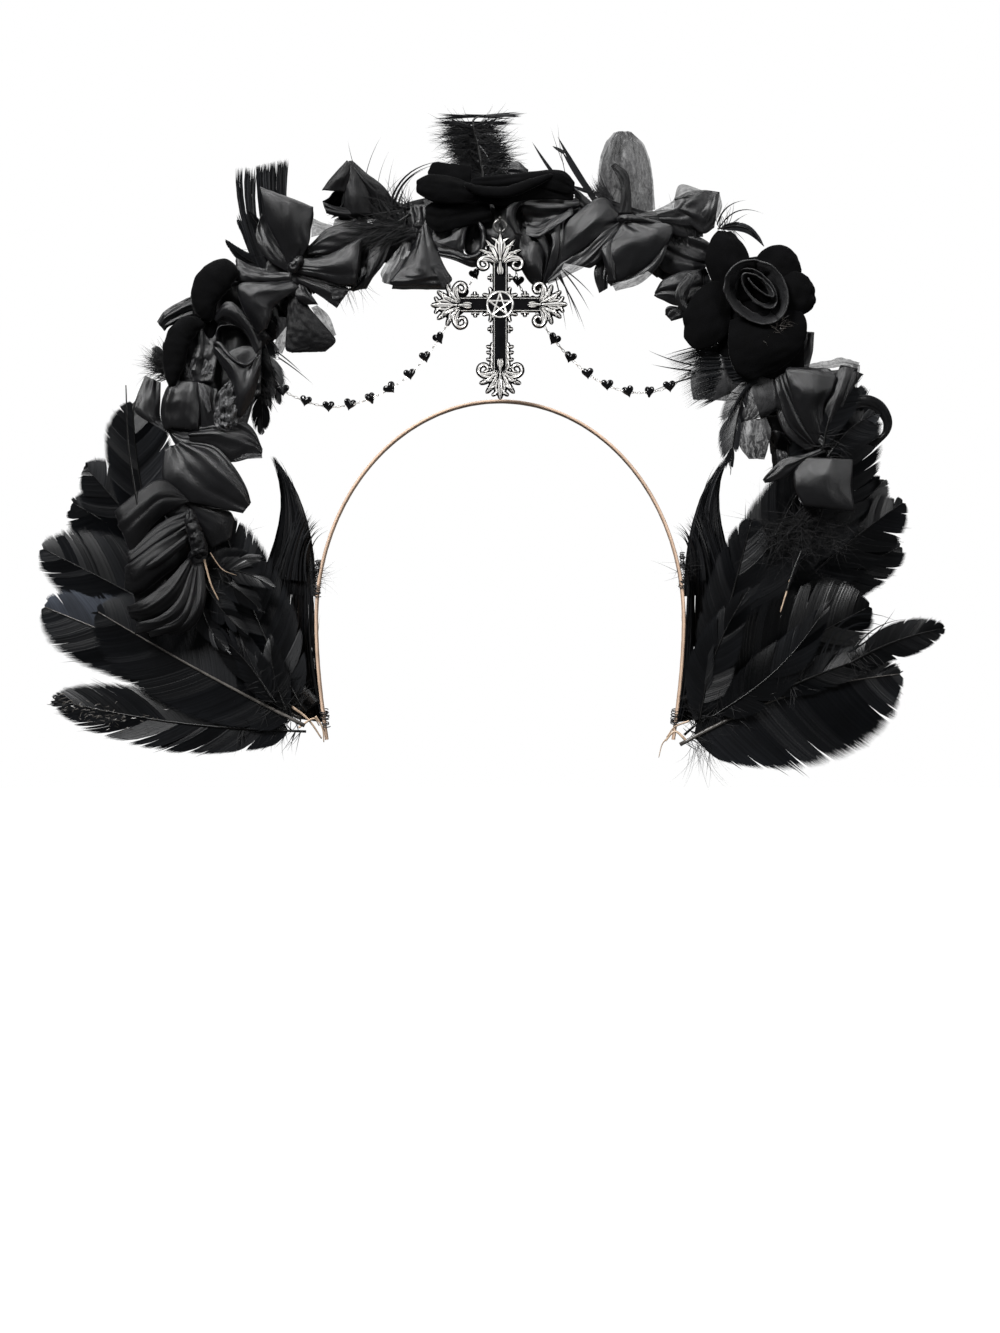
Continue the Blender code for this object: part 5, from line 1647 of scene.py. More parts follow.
sew_panels("crinkled_sheer", [
    [(-113, 9.3, -111, 8, -16.5, 0.3), (-118, 4, -110.3, 2, -17, 0.8), (-120.2, -4, -110, -3, -17, 0.8),
     (-120, -10, -110.5, -8.5, -16, 0.6), (-115.5, -13, -113, -11.5, -15, 0.2),
     {"wrinkle": 1.1, "grain": 3, "wide": 34}],
    [(-127, 7, -125, 7.3, -14.5, 0.2), (-125.5, 1, -122.5, 1.5, -15, 0.4),
     (-123, -5, -121.6, -4, -14.5, 0.1), {"wrinkle": 0.8, "grain": 3}],
    [(-133, 15, -128.5, 18.5, -12.5, 0.2), (-133, 10, -130, 10, -12.5, 0.3),
     {"wrinkle": 0.8, "grain": 3}],
    [(-124.5, 18, -120.5, 14, -12.5, 0.2), (-126.5, 11, -121, 12, -12.5, 0.3),
     {"wrinkle": 0.8, "grain": 3}],
    [(-153.5, -4.3, -151, -3, -9.8, 0.1), (-147, -9.3, -145.5, -7, -10, 0.4),
     (-141.5, -12.8, -141, -10.5, -9.5, 0.1), {}],
    [(-114.2, -26, -113, -23.5, -12, 0.1), (-107, -24.5, -107, -22.2, -12, 0.3),
     (-100.4, -24, -100.6, -21.5, -11, 0.1), {"wrinkle": 0.6, "grain": 2}],
], finish=crackle_sheer, wall=0)

# %% The gathered rosette: one smooth loop over tight, curved shells
sew_panels("shell_rosette", [
    [(-131, -42.5, -133, -40, -15, 0.3), (-143, -49.6, -142, -33.5, -16.5, 2.5),
     (-151.5, -60, -151.5, -38, -17, 3), (-155, -64.6, -161.5, -46, -16, 1.6),
     {"back": 7, "folds": 3, "height": 0.9, "fade": 1.5}],
    [(-131, -53, -130.5, -46, -17, 0.4, 2), (-143, -61, -143, -51.5, -18, 1.6, 3),
     (-156, -69, -157.5, -64.5, -17, 0.8, 2), {"folds": 3, "height": 0.6, "fade": 1.5}],
    [(-131, -65.5, -132, -52.5, -16, 1, -2), (-142, -74.6, -144, -60, -18, 3, -3),
     (-151.5, -81, -154, -67.5, -17.5, 2.4, -3), (-157.6, -79.3, -157.2, -69.5, -15.5, 0.6, -1),
     {"folds": 2, "height": 0.7, "fade": 2, "back": 4}],
    [(-131, -60, -131, -56, -19.5, 0.2), (-143, -70, -144.5, -66, -21, 0.8, -1),
     (-155, -76, -156, -73, -18.5, 0.3, -1), {"folds": 1}],
    [(-129, -69, -131, -66, -16.5, 0.4, -1), (-134, -84.5, -141, -77, -18, 2.4, -3),
     (-145, -92.4, -150.5, -84, -17.5, 2.4, -3), (-154.5, -92, -156.6, -86.5, -15.5, 0.6, -1),
     {"folds": 2, "height": 0.7, "fade": 2, "back": 4}],
    [(-127.5, -70, -129.2, -69, -17, 0.3, -1), (-131, -86.5, -135, -83, -18.5, 1.4, -2),
     (-139, -95, -142.5, -90.5, -18, 1.6, -2), (-152.5, -98, -152, -93.5, -15.5, 0.4, -1),
     {"folds": 1, "height": 0.5, "back": 3}],
    [(-126.5, -70, -128.2, -69, -17.5, 0.3, -1), (-128.3, -86.5, -131.5, -85, -19, 1.2, -1.5),
     (-133.5, -95.5, -137.5, -92.5, -18, 1.2, -2), (-146, -99.3, -147.5, -96, -15.5, 0.3, -1),
     {"folds": 1, "height": 0.5, "back": 3}],
    [(-125, -68, -127.3, -69, -17.5, 0.3), (-124, -84, -128.7, -85, -19, 1.4, -1),
     (-128.4, -94.5, -133.3, -93.5, -18, 1.2, -1.5), (-136, -98.5, -140, -97.6, -15.5, 0.3, -1),
     {"folds": 1, "height": 0.5, "back": 3}],
    [(-129, -66, -131, -47, -12, 1), (-142, -80, -146, -56, -12.5, 1), (-153, -90, -157, -68, -12, 1),
     {"folds": 6, "height": 1.2}],
], pads=[
    [(-131, -45.5, -18, 1.2), (-129.5, -52, -20.3, 2.3), (-127, -59, -21, 2.6),
     (-126.5, -67, -19.5, 1.8), 2.2, {"height": 0.9, "grain": 2.4}],
    [(-131, -66.5, -19, 1), (-127, -63.5, -22, 1.5), (-123, -64.8, -19.5, 1), 1.3,
     {"height": 0.5, "grain": 2}],
    [(-131, -56, -19, 0.9), (-127.5, -57, -22.2, 1.3), (-124, -60, -19.5, 0.9), 1.2,
     {"height": 0.5, "grain": 2}],
    [(-139, -42, -11.5, 4), (-134, -52, -12, 6), (-130, -62, -12, 6), (-127, -74, -11.5, 4), 2.5,
     {"height": 0.6}],
], finish=dull_satin, nodes=["pleated_rosette_left"])

# %% Folds round the top of the cross
sew_panels("rosette_folds_top", [
    [(-15.5, 77.5, -10.5, 78, -8.4, 0.5), (-19.3, 73, -14.3, 73, -9.4, 1, -1),
     (-21.5, 69.6, -15.3, 67.5, -9.8, 1, -1), (-27.6, 67.3, -15.3, 62.8, -9.6, 0.8),
     {"folds": 3, "height": 0.6, "fade": 2}],
    [(-26.5, 65.3, -25.5, 61.3, -8, 0.5), (-20, 64.5, -18, 59.3, -8.6, 1.2),
     (-13, 61.5, -12, 56.8, -9.4, 1.2), (-7.5, 62, -8, 58, -9, 0.6), {"folds": 3}],
    [(-26, 78, -12, 79, -5, 1), (-29, 70, -16, 70, -6, 1), (-25, 62, -16, 62, -6, 1), {"folds": 5}],
], pads=[
    [(-11, 78, -9.6, 0.9), (-7.6, 73.5, -11, 0.9), (-6.8, 68, -11.5, 0.9), (-8.4, 62.6, -11.2, 1),
     (-13, 60.6, -10.4, 0.9), (-17, 61.6, -9.2, 0.6), 0.9, {"height": 0.15}],
], hollows=[
    [(-9.5, 76.5, -9.6), (-7.6, 71, -9.6), (-8, 64.5, -9.6), (-12, 61.6, -9.6), (-15, 64, -9.6),
     (-15, 70, -9.6), (-13, 75, -9.6), 5],
], nodes=["satin_rosette_top"])
sew_panels("dark_folds_top", [
    [(11, 87, 12.7, 85, -12, 0.3), (4.6, 84.5, 8.3, 82.5, -14, 0.8, 2),
     (2.6, 77.5, 6.4, 77, -15, 0.8, 2), (6.3, 70.2, 9.3, 69.8, -14, 0.3, 1),
     {"folds": 1, "height": 0.3}],
    [(9, 74, 10, 88, -9, 1), (17, 73, 18, 88, -10, 2), (25, 75, 26, 87, -10, 1.6),
     (33, 80, 34, 86, -8.5, 0.5), {"folds": 8, "height": 1.5, "wrinkle": 0.8, "fade": 2}],
    [(31, 91, 32, 85, -8, 0.5), (35, 87.5, 35, 81.5, -8, 0.8), (39, 84.5, 37.5, 81, -8, 0.3),
     {"folds": 3}],
    [(3, 95, 4, 101.5, -5, 1), (8, 94.3, 8, 101.5, -6, 1.5), (11.5, 95.5, 11.5, 99, -5, 0.6),
     {"back": 5, "folds": 3}],
    [(10.5, 70.5, 11, 74.6, -11, 0.4, 1), (16, 69, 16.5, 74.2, -12, 0.8, 2),
     (22, 72.5, 22, 77, -12, 0.8, 2), (31, 79, 30.5, 82, -11, 0.3, 1), {"folds": 2}],
    [(-10, 84, 12, 84, -5, 1), (-9, 74, 12, 74, -6, 1.5), (-6, 66, 12, 64, -6, 1.2),
     (-3, 59.5, 12, 55, -5, 0.5), {"folds": 4}],
    [(-40, 84, -30, 84, -2, 1), (-38, 74, -24, 76, -2.5, 1), (-34, 66, -18, 66, -2, 1), {"folds": 5}],
])
sew_panels("loop_beside_cross", [
    [(9.5, 75, 20.5, 74, -7, 1), (8, 66, 22.5, 67, -8, 1.8, 1), (8.5, 58, 21.5, 58.5, -8.5, 2, 1),
     (12, 51.5, 19.8, 51.5, -8, 1.2), (16.2, 47.8, 18.6, 47.8, -7, 0.3),
     {"back": 6, "folds": 2, "height": 1.3, "fade": 1.4}],
    [(20, 74.3, 29, 78.5, -9.5, 0.8, 2), (22.4, 67, 28, 69.5, -11, 1.2, 2),
     (20.6, 58.5, 27.5, 60, -10.5, 1, 2), (17.6, 49, 23.5, 51.5, -9, 0.6),
     {"folds": 1, "fade": 2, "height": 0.6}],
    [(10.6, 73.8, 12.2, 75.6, -9.5, 0.2, 1), (16, 68, 18.5, 70.5, -11, 0.8, 2),
     (19.5, 60, 21.6, 62, -10.5, 0.6, 2), (18, 52, 19.6, 52.5, -9.5, 0.2),
     {"folds": 0, "wrinkle": 0.15}],
], nodes=["ribbon_loop_top_right"])

# %% The bow on the right
sew_panels("bow_right_ribbon", [
    [(50.5, 75.8, 50, 79.5, -10, 0.2), (43.5, 71, 44.5, 85.8, -11.5, 1.8, 1),
     (36, 65, 37.5, 83.5, -12, 2.6, 1), (26, 58.3, 28.6, 76.5, -10.5, 1.2),
     {"back": 6, "folds": 3, "height": 0.6}],
    [(49.8, 74.3, 50.5, 72.3, -10.5, 0.2), (42, 70, 46.5, 64.5, -11, 1), (34, 63.5, 42, 59, -10.5, 1.2),
     (27, 58.5, 38, 56.5, -9.5, 0.6), {"folds": 4, "height": 0.8}],
    [(50.5, 73.6, 53.5, 76.4, -11, 0.3), (47, 68, 63, 75.8, -12.5, 1.6),
     (43.4, 62.5, 72.8, 73.2, -13.5, 2.6, -1), (44.6, 55.5, 69.5, 63.5, -12.5, 2.2, -1),
     (46.5, 49.5, 61.5, 55, -11, 1), {"back": 7, "folds": 2, "height": 0.8}],
    [(48.5, 69, 51, 71, -12, 0.3), (43, 64.8, 48, 67, -13, 1, 1), (45.3, 57, 48.3, 58, -14, 0.8, 1),
     (45.8, 50, 49, 50.5, -13, 0.4), {"folds": 1, "height": 0.5}],
    [(41.5, 60, 48, 64, -8, 0.6), (40, 54, 46, 53, -8, 1), (42, 46, 45.5, 48, -7.5, 0.3),
     {"folds": 4, "height": 1}],
    [(74, 86, 73.5, 80, -9, 0.5), (80, 88.6, 80, 75, -10, 1.4, 1), (87, 89.2, 86, 71, -10, 1.2, 1),
     (92.8, 88.4, 90.6, 73.5, -10, 0.6, 1), {"folds": 4, "height": 0.9}],
    [(57, 76.5, 57, 79, -9, 0.3), (67, 74.5, 67.5, 81, -8, 1), (76, 70, 78, 81, -7, 1.2),
     (86, 70, 86, 77, -6, 0.6), {"folds": 4}],
    [(66, 60, 74, 73, -5, 1), (70, 55, 84, 70, -6, 1.6), (78, 54, 90, 66, -6, 1),
     (86, 56, 92, 62, -5, 0.5), {"folds": 6, "height": 1.3, "fade": 2}],
    [(40, 90, 52, 76, -2, 1), (48, 86, 66, 72, -2.5, 1), (60, 82, 78, 64, -2, 1),
     (74, 78, 88, 56, -2, 1), {"folds": 6}],
], pads=[
    [(49.5, 76.5, -12.5, 1.2), (53, 77.2, -13.4, 1.3), (60, 76.5, -12.6, 0.9), (72.5, 73.8, -11, 0.6),
     0.9, {"height": 0.3, "grain": 2}],
], nodes=["bow_right"])
sew_panels("bow_right_sheer", [
    [(40, 82, 51, 79, -7, 0.5), (41, 90, 52.6, 90, -8, 1.5), (42.3, 101, 50.6, 101, -9, 1.8, -1),
     (44.4, 108.5, 51, 110.5, -9, 1.4, -1), (48, 113.8, 52, 114.6, -8, 0.3),
     {"folds": 4, "height": 0.8, "fade": 2}],
    [(53, 79, 65.8, 81.6, -5.5, 1), (52, 90, 65, 92, -6.5, 2, 1), (50.4, 101, 63.6, 102, -7, 2.4, 1),
     (50.8, 109, 60.6, 109.8, -6.5, 1.2), (51, 114.8, 55.8, 114.4, -5.5, 0.3),
     {"folds": 4, "height": 0.8, "fade": 2}],
    [(41, 80, 65, 80, 0, -1), (42, 92, 64.6, 93, 1, -1.5), (43.5, 103, 63, 103.5, 0.5, -1.5),
     (46.5, 110.5, 59.8, 110.8, -2, -1), (49.5, 114.7, 55.6, 114.7, -5, 0),
     {"folds": 2, "height": 0.5, "fade": 2}],
    [(65.5, 81, 68, 76.5, -9, 0.3), (73, 85, 75, 75, -9.5, 1), (76.4, 91.8, 81, 74.5, -9.5, 1.2),
     (88, 88.7, 84, 76, -8.5, 0.6), {"folds": 6, "height": 0.7, "fade": 2}],
    [(92.8, 88.3, 88.5, 86, -11, 0.2), (93.6, 82, 84, 79, -11, 1.4, 1), (91, 76, 84, 74.5, -10, 0.5),
     {"folds": 3}],
    [(50, 75.6, 49.8, 73.8, -11, 0.2), (42.5, 71, 44, 65, -12, 0.8), (33.5, 64, 37, 57.4, -11.5, 1),
     (26, 58.4, 29, 53.2, -10.8, 0.8), (20.6, 52.6, 20.2, 49.2, -10, 0.3),
     {"folds": 5, "height": 0.7, "fade": 2}],
    [(69, 64.5, 72, 70, -13.5, 0.3), (63, 57.5, 68, 58.5, -14, 0.8),
     (54.5, 51.5, 59.6, 49.8, -13.6, 0.9), (47, 49.6, 48.8, 46.4, -12.4, 0.4),
     {"folds": 3, "height": 0.4, "fade": 2}],
], finish=organza, wall=0)
sew_panels("dark_strip_right", [
    [(50, 79, 55.6, 79, -10, 0.5), (51.2, 88, 55.3, 88, -10.5, 0.6),
     (50.3, 93.5, 53.8, 96.5, -10.5, 0.4), (46.8, 99.5, 48.6, 100.8, -10, 0.1),
     {"folds": 2, "height": 0.5}],
], finish=dull_satin)

# %% Folds, tulip and panel on the right
sew_panels("folds_right", [
    [(87, 44, 85, 56, -8, 0.6), (76, 40.5, 77, 55, -9.5, 2), (69, 43, 69, 51.3, -9.5, 1.6),
     (65.2, 44.8, 65.6, 46.3, -9, 0.2), {"folds": 4, "height": 0.9, "fade": 2}],
    [(80, 54.6, 84, 54, -11, 0.2), (75, 48.5, 80, 47, -12, 1, 2), (74, 42.5, 79, 42, -12, 1, 2),
     (77, 38, 81, 38, -11, 0.3), {"folds": 1, "height": 0.4}],
    [(70, 36.8, 72.5, 34.2, -8, 0.2), (71, 40, 77, 35.5, -8.5, 0.6), (78, 40, 80, 36.5, -8, 0.2),
     {"folds": 2}],
    [(128, 30, 133, 29.5, -7, 0.3), (127, 22, 132.3, 21.5, -7.5, 0.8), (124, 13, 130.5, 14, -7, 0.5),
     {"back": 4, "folds": 2}],
])
sew_panels("tulip_and_panel", [
    [(129, -23.6, 149, -24.7, -12, 1.5), (124.2, -30, 148.7, -31, -13, 2),
     (124.6, -37, 148.7, -38, -13, 2), (128, -43.5, 149.8, -45.8, -12, 1.2),
     {"back": 7, "folds": 1, "height": 0.6, "wrinkle": 0.2}],
    [(134, -19, 138, -19, -9, 0.3), (126, -6, 136.5, -3, -12, 2), (122.5, 4, 140, 4, -13, 3.2),
     (120.5, 12.4, 142, 10.5, -12.5, 2.2), (122.5, 14.2, 139, 13.5, -10.5, 1),
     {"folds": 3, "height": 0.6, "back": 5}],
    [(135, -19, 139, -18, -8, 0.3), (136.5, -5, 146, -3, -10, 1.4, 1), (141, 8, 150, 8, -10, 1.8, 1),
     (144, 15.5, 151, 14, -9, 0.8, 1), {"folds": 4, "height": 0.9, "fade": 1.5}],
    [(133, -20, 136, -19, -8.5, 0.3), (122, -10, 130, -5, -10, 1.6), (117.5, 2, 125, 5, -10, 1.6),
     (116, 10, 122, 13, -9, 0.6), {"folds": 5, "height": 1.1, "fade": 1.5}],
    [(130, -21, 136, -20, -6, 0.5), (120, -12, 138, -8, -6, 1), (116, 2, 148, 2, -5, 1),
     (118, 12, 148, 14, -4, 1), {"folds": 6, "height": 1.2}],
    [(136, -19.8, 137.5, -21.3, -11, 0.2), (127, -22.8, 126.5, -27, -12, 1),
     (119.5, -24.3, 121.5, -31.5, -12, 1.2), (113, -30.5, 116.5, -33.5, -11, 0.5),
     (111, -33, 112, -34.5, -10, 0.1), {"folds": 2, "height": 0.5}],
    [(149, 2.4, 149, -3, -7, 0.2), (156.5, 2.8, 155.5, -2.2, -6.5, 0.3, 2),
     (162.4, -0.4, 159.8, -4.4, -6, 0.3, 3), (165.9, -6.6, 162.6, -9.2, -5, 0.3, 3),
     (165.4, -12.4, 161.6, -13.6, -3, 0.2, 2), (160, -18.5, 156, -17.5, 1, 0.2),
     {"folds": 1, "height": 0.3, "fade": 2}],
], nodes=["satin_petals_right"])
sew_panels("sheer_rim_right", [
    [(128, 12.5, 128.5, 15.3, -12, 0.3), (137, 13.5, 137, 17, -11.5, 0.6),
     (145, 14.5, 145, 18.3, -10.5, 0.6), (151, 14, 152, 16.5, -9.5, 0.3),
     {"folds": 6, "height": 0.6, "fade": 3, "wrinkle": 0.7, "grain": 3}],
    [(149.5, 16, 152.3, 15.5, -9, 0.3), (149, 9, 151.5, 9, -9, 0.3), (149.5, 2, 150.5, 2, -8.5, 0.1),
     {"wrinkle": 0.6, "grain": 3}],
    [(117, -20, 121, -21, -6, 0.3), (117.5, -26, 122, -25, -6.5, 0.6), (115, -29, 118, -28.5, -6, 0.2),
     {"wrinkle": 0.7, "grain": 3}],
], finish=organza, wall=0)
sew_panels("gauze_right", [
    [(82.5, 17.5, 98, 25, -6, 0.5), (80.8, 12, 101, 15, -7.2, 1.4), (80.8, 6, 102, 7, -7.6, 1.2),
     (81.8, 1, 99.5, 0.4, -6.6, 0.3),
     {"folds": 9, "height": 0.8, "fade": 1.2, "wrinkle": 0.15, "grain": 8}],
    [(103.5, 10, 119, 14, -7, 0.5), (104.6, 3, 120, 4, -8.4, 1.4), (102.8, -4, 119.5, -2, -8.2, 1.2),
     (101.8, -8.5, 113.5, -6, -7, 0.4),
     {"folds": 7, "height": 0.9, "fade": 1.2, "wrinkle": 0.15, "grain": 8}],
    [(101.6, -7.5, 112.8, -6.6, -6.5, 0.5), (100.4, -13.5, 114.6, -12.5, -7.8, 1.6),
     (101.6, -19, 113.6, -19, -7.8, 1.4), (105.4, -24, 112, -24.4, -6.6, 0.4),
     {"folds": 6, "height": 0.9, "fade": 1.2, "wrinkle": 0.15, "grain": 8}],
], finish=gauze, wall=0)


# %% [markdown]
# ## Velvet flowers and the rolled rose
# The velvet petals are padded: two layers sewn back to back, thick and round at the rim. They
# are panels with a wall and one level of subdivision. The rose is one long strip of chiffon,
# folded lengthwise and rolled, so it is a spiral whose rim is a thin roll.

# %% Velvet petals
PETAL = {"per_rib": 6, "wide": 14, "wrinkle": 0.4, "grain": 6.0}
SMALL_PAD = {"per_point": 7, "wide": 14, "height": 0.6, "grain": 3.5}
PETAL_WALL = 1.3


def velvet_piece(name, node, panels, pads=()):
    panels = [(*ribs, {**PETAL, **more}) for *ribs, more in panels]
    look = {"finish": velvet, "slot": "black_velvet", "wall": PETAL_WALL}
    piece = sew_panels(name, panels, pads, nodes=[node], **look)
    smooth = piece.modifiers.new("round_rim", "SUBSURF")
    smooth.levels = smooth.render_levels = 1


velvet_piece("velvet_crescents", "velvet_petals_left", [
    [(-120, 35, -130, 34, -8, 1), (-119, 45, -129, 44, -8, 1.5), (-113, 52, -123, 54, -8, 1),
     {"folds": 4}],
    [(-124, 31, -133, 33, -8, 1), (-128, 18, -140, 20, -8, 1.5), (-134, 7, -141, 9, -8, 0.6),
     {"folds": 4}],
    [(-118, 36, -128, 32, -9, 1), (-121, 28, -132, 26, -9, 1), (-124, 22, -132, 18, -8, 1),
     {"folds": 4}],
], pads=[
    [(-110.8, 55, -12, 3.6), (-117, 53.5, -13.5, 6.6), (-123, 47.5, -14, 6.4), (-124.5, 39, -13.5, 4.4),
     (-122, 34, -12, 1.6), 3.6, SMALL_PAD],
    [(-124.5, 32.5, -11.5, 1.4), (-131, 31.5, -13.5, 4.2), (-135.8, 25, -14.5, 5.2),
     (-137.5, 15, -14.5, 4.2), (-138.6, 5, -13, 1.6), 3.6, SMALL_PAD],
])
velvet_piece("velvet_flower_centre", "velvet_flower_top", [
    [(-12, 88, -12, 99.3, -12, 1), (-21, 85, -21, 100.4, -12.5, 1.8), (-28, 87, -28, 100.9, -12.5, 1.2),
     (-30.6, 91, -30.4, 97, -12, 0.3), {"folds": 3}],
    [(-10, 84, -10, 91, -15, 1), (-20, 83, -20, 94.5, -16, 2), (-29, 84, -29, 95.6, -16, 1.8),
     (-35.2, 88, -35.2, 92.6, -15, 0.4), {"folds": 3, "height": 1.2}],
    [(-13, 90, -12, 93.5, -15, 0.3), (0, 89, 1, 94.6, -16, 1.2), (14, 90.5, 15, 96.3, -16, 1.6),
     (26, 87.5, 26.5, 97, -15.5, 1.6), (31.8, 87, 31.3, 92, -14, 0.4), {"folds": 3, "height": 0.8}],
    [(-13, 85, -13, 90.5, -14.5, 1), (0, 82.6, 0, 88.6, -15, 1.4), (10, 84.5, 10, 90, -15, 1.2),
     (22, 85, 22, 93, -14.5, 1.2), (31, 84.5, 31, 91, -13.5, 0.4), {"folds": 3}],
    [(-3, 76, -5, 87, -10, 1), (-16, 73.5, -15, 86, -11, 2), (-26, 71, -26, 85, -11, 1.6),
     (-31.5, 75.5, -31.5, 82, -10, 0.4), {"folds": 4}],
    [(-4, 90, -2, 80, -8, 1), (6, 95, 8, 84, -8, 1), (20, 96, 24, 84, -8, 1), {"folds": 2}],
], pads=[
    [(-15, 90.8, -18, 1), (-7, 87.8, -19, 1.7), (3, 87.6, -19.3, 1.9), (13, 91, -19, 1.7),
     (22.5, 95, -17.5, 0.9), 1.5, {**SMALL_PAD, "height": 0.2}],
])
velvet_piece("velvet_flower_side", "velvet_flower_right", [
    [(96, 40, 108, 44, -9, 1), (90, 50, 106, 50, -10, 1.5), (86.6, 59, 106, 56.5, -11, 2.6),
     (89, 68, 104, 64, -10.5, 2), (92, 72.6, 98, 71.5, -9.5, 0.4), {"folds": 3}],
    [(106, 46, 106, 56, -9.5, 1), (112.5, 46, 110.5, 63.5, -11, 2.2), (120, 48, 118, 66, -12, 2.6),
     (125.6, 51, 124.2, 62.6, -11, 1.6), (127.2, 53.6, 126.6, 58, -10, 0.4),
     {"folds": 3, "height": 0.9}],
    [(106, 42, 108, 52, -10.5, 1), (116, 36.2, 116, 54.5, -12.5, 2.2),
     (125, 35.2, 124.4, 54.6, -13, 2.6), (131, 38, 130, 52.4, -12, 1.6),
     (133.2, 42, 132.6, 47.6, -11, 0.4), {"folds": 3, "height": 0.9}],
    [(97, 34, 116, 40, -11, 1.5), (96.2, 28, 127, 38, -13, 3), (96.6, 19, 129.8, 30, -13.5, 3.4),
     (99.6, 12.4, 126, 20.5, -12.5, 2.6), (105, 8.6, 117, 12.6, -11, 0.4), {"folds": 4, "height": 1}],
    [(98, 30, 98, 48, -10, 1.5), (91, 24, 91, 51, -11.5, 3), (83, 21.5, 83.5, 46.8, -11.5, 2.8),
     (77.8, 27, 77.3, 37, -10.5, 0.6), {"folds": 4, "height": 1}],
    [(92, 31, 92, 21, -7.5, 1), (104, 30, 104, 13, -8, 1), (118, 30, 118, 9.5, -8, 1),
     (129, 26, 128.5, 13, -7.5, 0.6), {"folds": 3}],
    [(95, 22, 122, 26, -8, 1), (92, 34, 122, 38, -8, 1), (94, 48, 120, 52, -8, 1),
     (98, 60, 112, 62, -8, 1), {"folds": 3}],
])


# %% The rose
ROSE_CENTRE = (108.0, 45.6)
ROSE_TURNS = 2.0


def rose_rows(deep=230, wide=16):
    """One strip rolled outwards: long, narrow inner turns and a nearly round outer one."""
    t = np.linspace(0, 1, deep)[:, None]
    v = np.linspace(0, 1, wide)[None, :]
    angle = 2 * np.pi * ROSE_TURNS * t + math.radians(200)
    long, short = 5.8 + 5.4 * t, 1.4 + 5.6 * t**1.1
    wall = 1 - 0.3 * (1 - v) ** 1.3
    roll = 0.6 * np.sin(np.pi * np.clip((v - 0.78) / 0.22, 0, 1))
    a, b = long * wall * np.cos(angle), short * wall * np.sin(angle)
    out = np.sqrt(a**2 + b**2) + 1e-6
    a, b = a * (1 + roll / out), b * (1 + roll / out)
    lean = math.radians(-52) + 0.35 * (1 - t)
    x = ROSE_CENTRE[0] + 1.3 * (1 - t) + a * np.cos(lean) - b * np.sin(lean)
    z = ROSE_CENTRE[1] + 2.8 * (1 - t) + a * np.sin(lean) + b * np.cos(lean)
    y = -13 - (6.6 + 2.4 * (1 - t)) * v**0.8
    y = y + (0.9 * np.sin(angle + 0.6) + 0.4 * np.sin(2.6 * angle)) * v - 0.5 * roll
    y = y + 6.0 * np.clip((t - 0.9) / 0.1, 0, 1) ** 1.5
    rows = np.stack([x, y, z], -1)
    return (rows + 0.12 * crease(rows, 4.0, 4)[..., None]) * MM


def rose_ring(deep=90, wide=12):
    """The outermost petal: a closed, nearly round ring with a rolled rim."""
    turn = np.linspace(0, 2 * np.pi, deep)[:, None]
    v = np.linspace(0, 1, wide)[None, :]
    wobble = 0.35 * np.sin(2 * turn + 0.5) + 0.3 * np.sin(3 * turn + 2)
    wall = 1 - 0.34 * (1 - v) ** 1.3
    roll = 0.7 * np.sin(np.pi * np.clip((v - 0.76) / 0.24, 0, 1))
    a = (14.2 + wobble) * wall * np.cos(turn) + roll * np.cos(turn)
    b = (11.9 + wobble) * wall * np.sin(turn) + roll * np.sin(turn)
    lean = math.radians(-52)
    x = ROSE_CENTRE[0] + a * np.cos(lean) - b * np.sin(lean)
    z = ROSE_CENTRE[1] + a * np.sin(lean) + b * np.cos(lean)
    y = -13 - 6.2 * v**0.8 - 0.7 * np.sin(2 * turn + 1) * v - 0.5 * roll
    rows = np.stack([x, y + 0 * a, z], -1)
    rows = rows + 0.25 * np.sin(np.pi * turn[..., None] / (2 * np.pi)) * crease(rows, 4.0, 9)[..., None]
    rows[-1] = rows[0]
    return rows * MM


rose = [cloth("rolled_rose", rose_rows(), chiffon), cloth("rolled_rose", rose_ring(), chiffon)]
sew("rolled_rose", rose, 0.4, ["chiffon_rose"])

# %% Lint: pale curled fibres that cling to the lower petal
rng = np.random.default_rng(12)
LINT = [(109, -17.3, 23.5), (111, -17.5, 27), (114.5, -17.4, 29), (117, -17.2, 31), (119.5, -17, 33)]
LINT_FIBRES = 34
places = np.array(LINT) * MM
heads = unit(np.array([(1, -0.1, 0.5)])).repeat(len(LINT), 0)
places = places + rng.normal(0, 0.0004, (len(LINT), 3))
lint = wisps(rng, places, heads, LINT_FIBRES, 0.0042, 0.6, 0.00009, curl=1.6)
lint["root"] = lint["root"] + rng.normal(0, 0.0011, (LINT_FIBRES, 3)) * [1, 0.1, 1]
dress(grow("lint", lint, 8, 3.0, quill_grey), [])


# %% [markdown]
# ## Ruffles behind the flowers
# Between the bows the hoop is hidden by bunched ribbon. A bunched ribbon follows the hoop and
# folds to and fro across it, so it is a strip whose depth rises and falls many times.

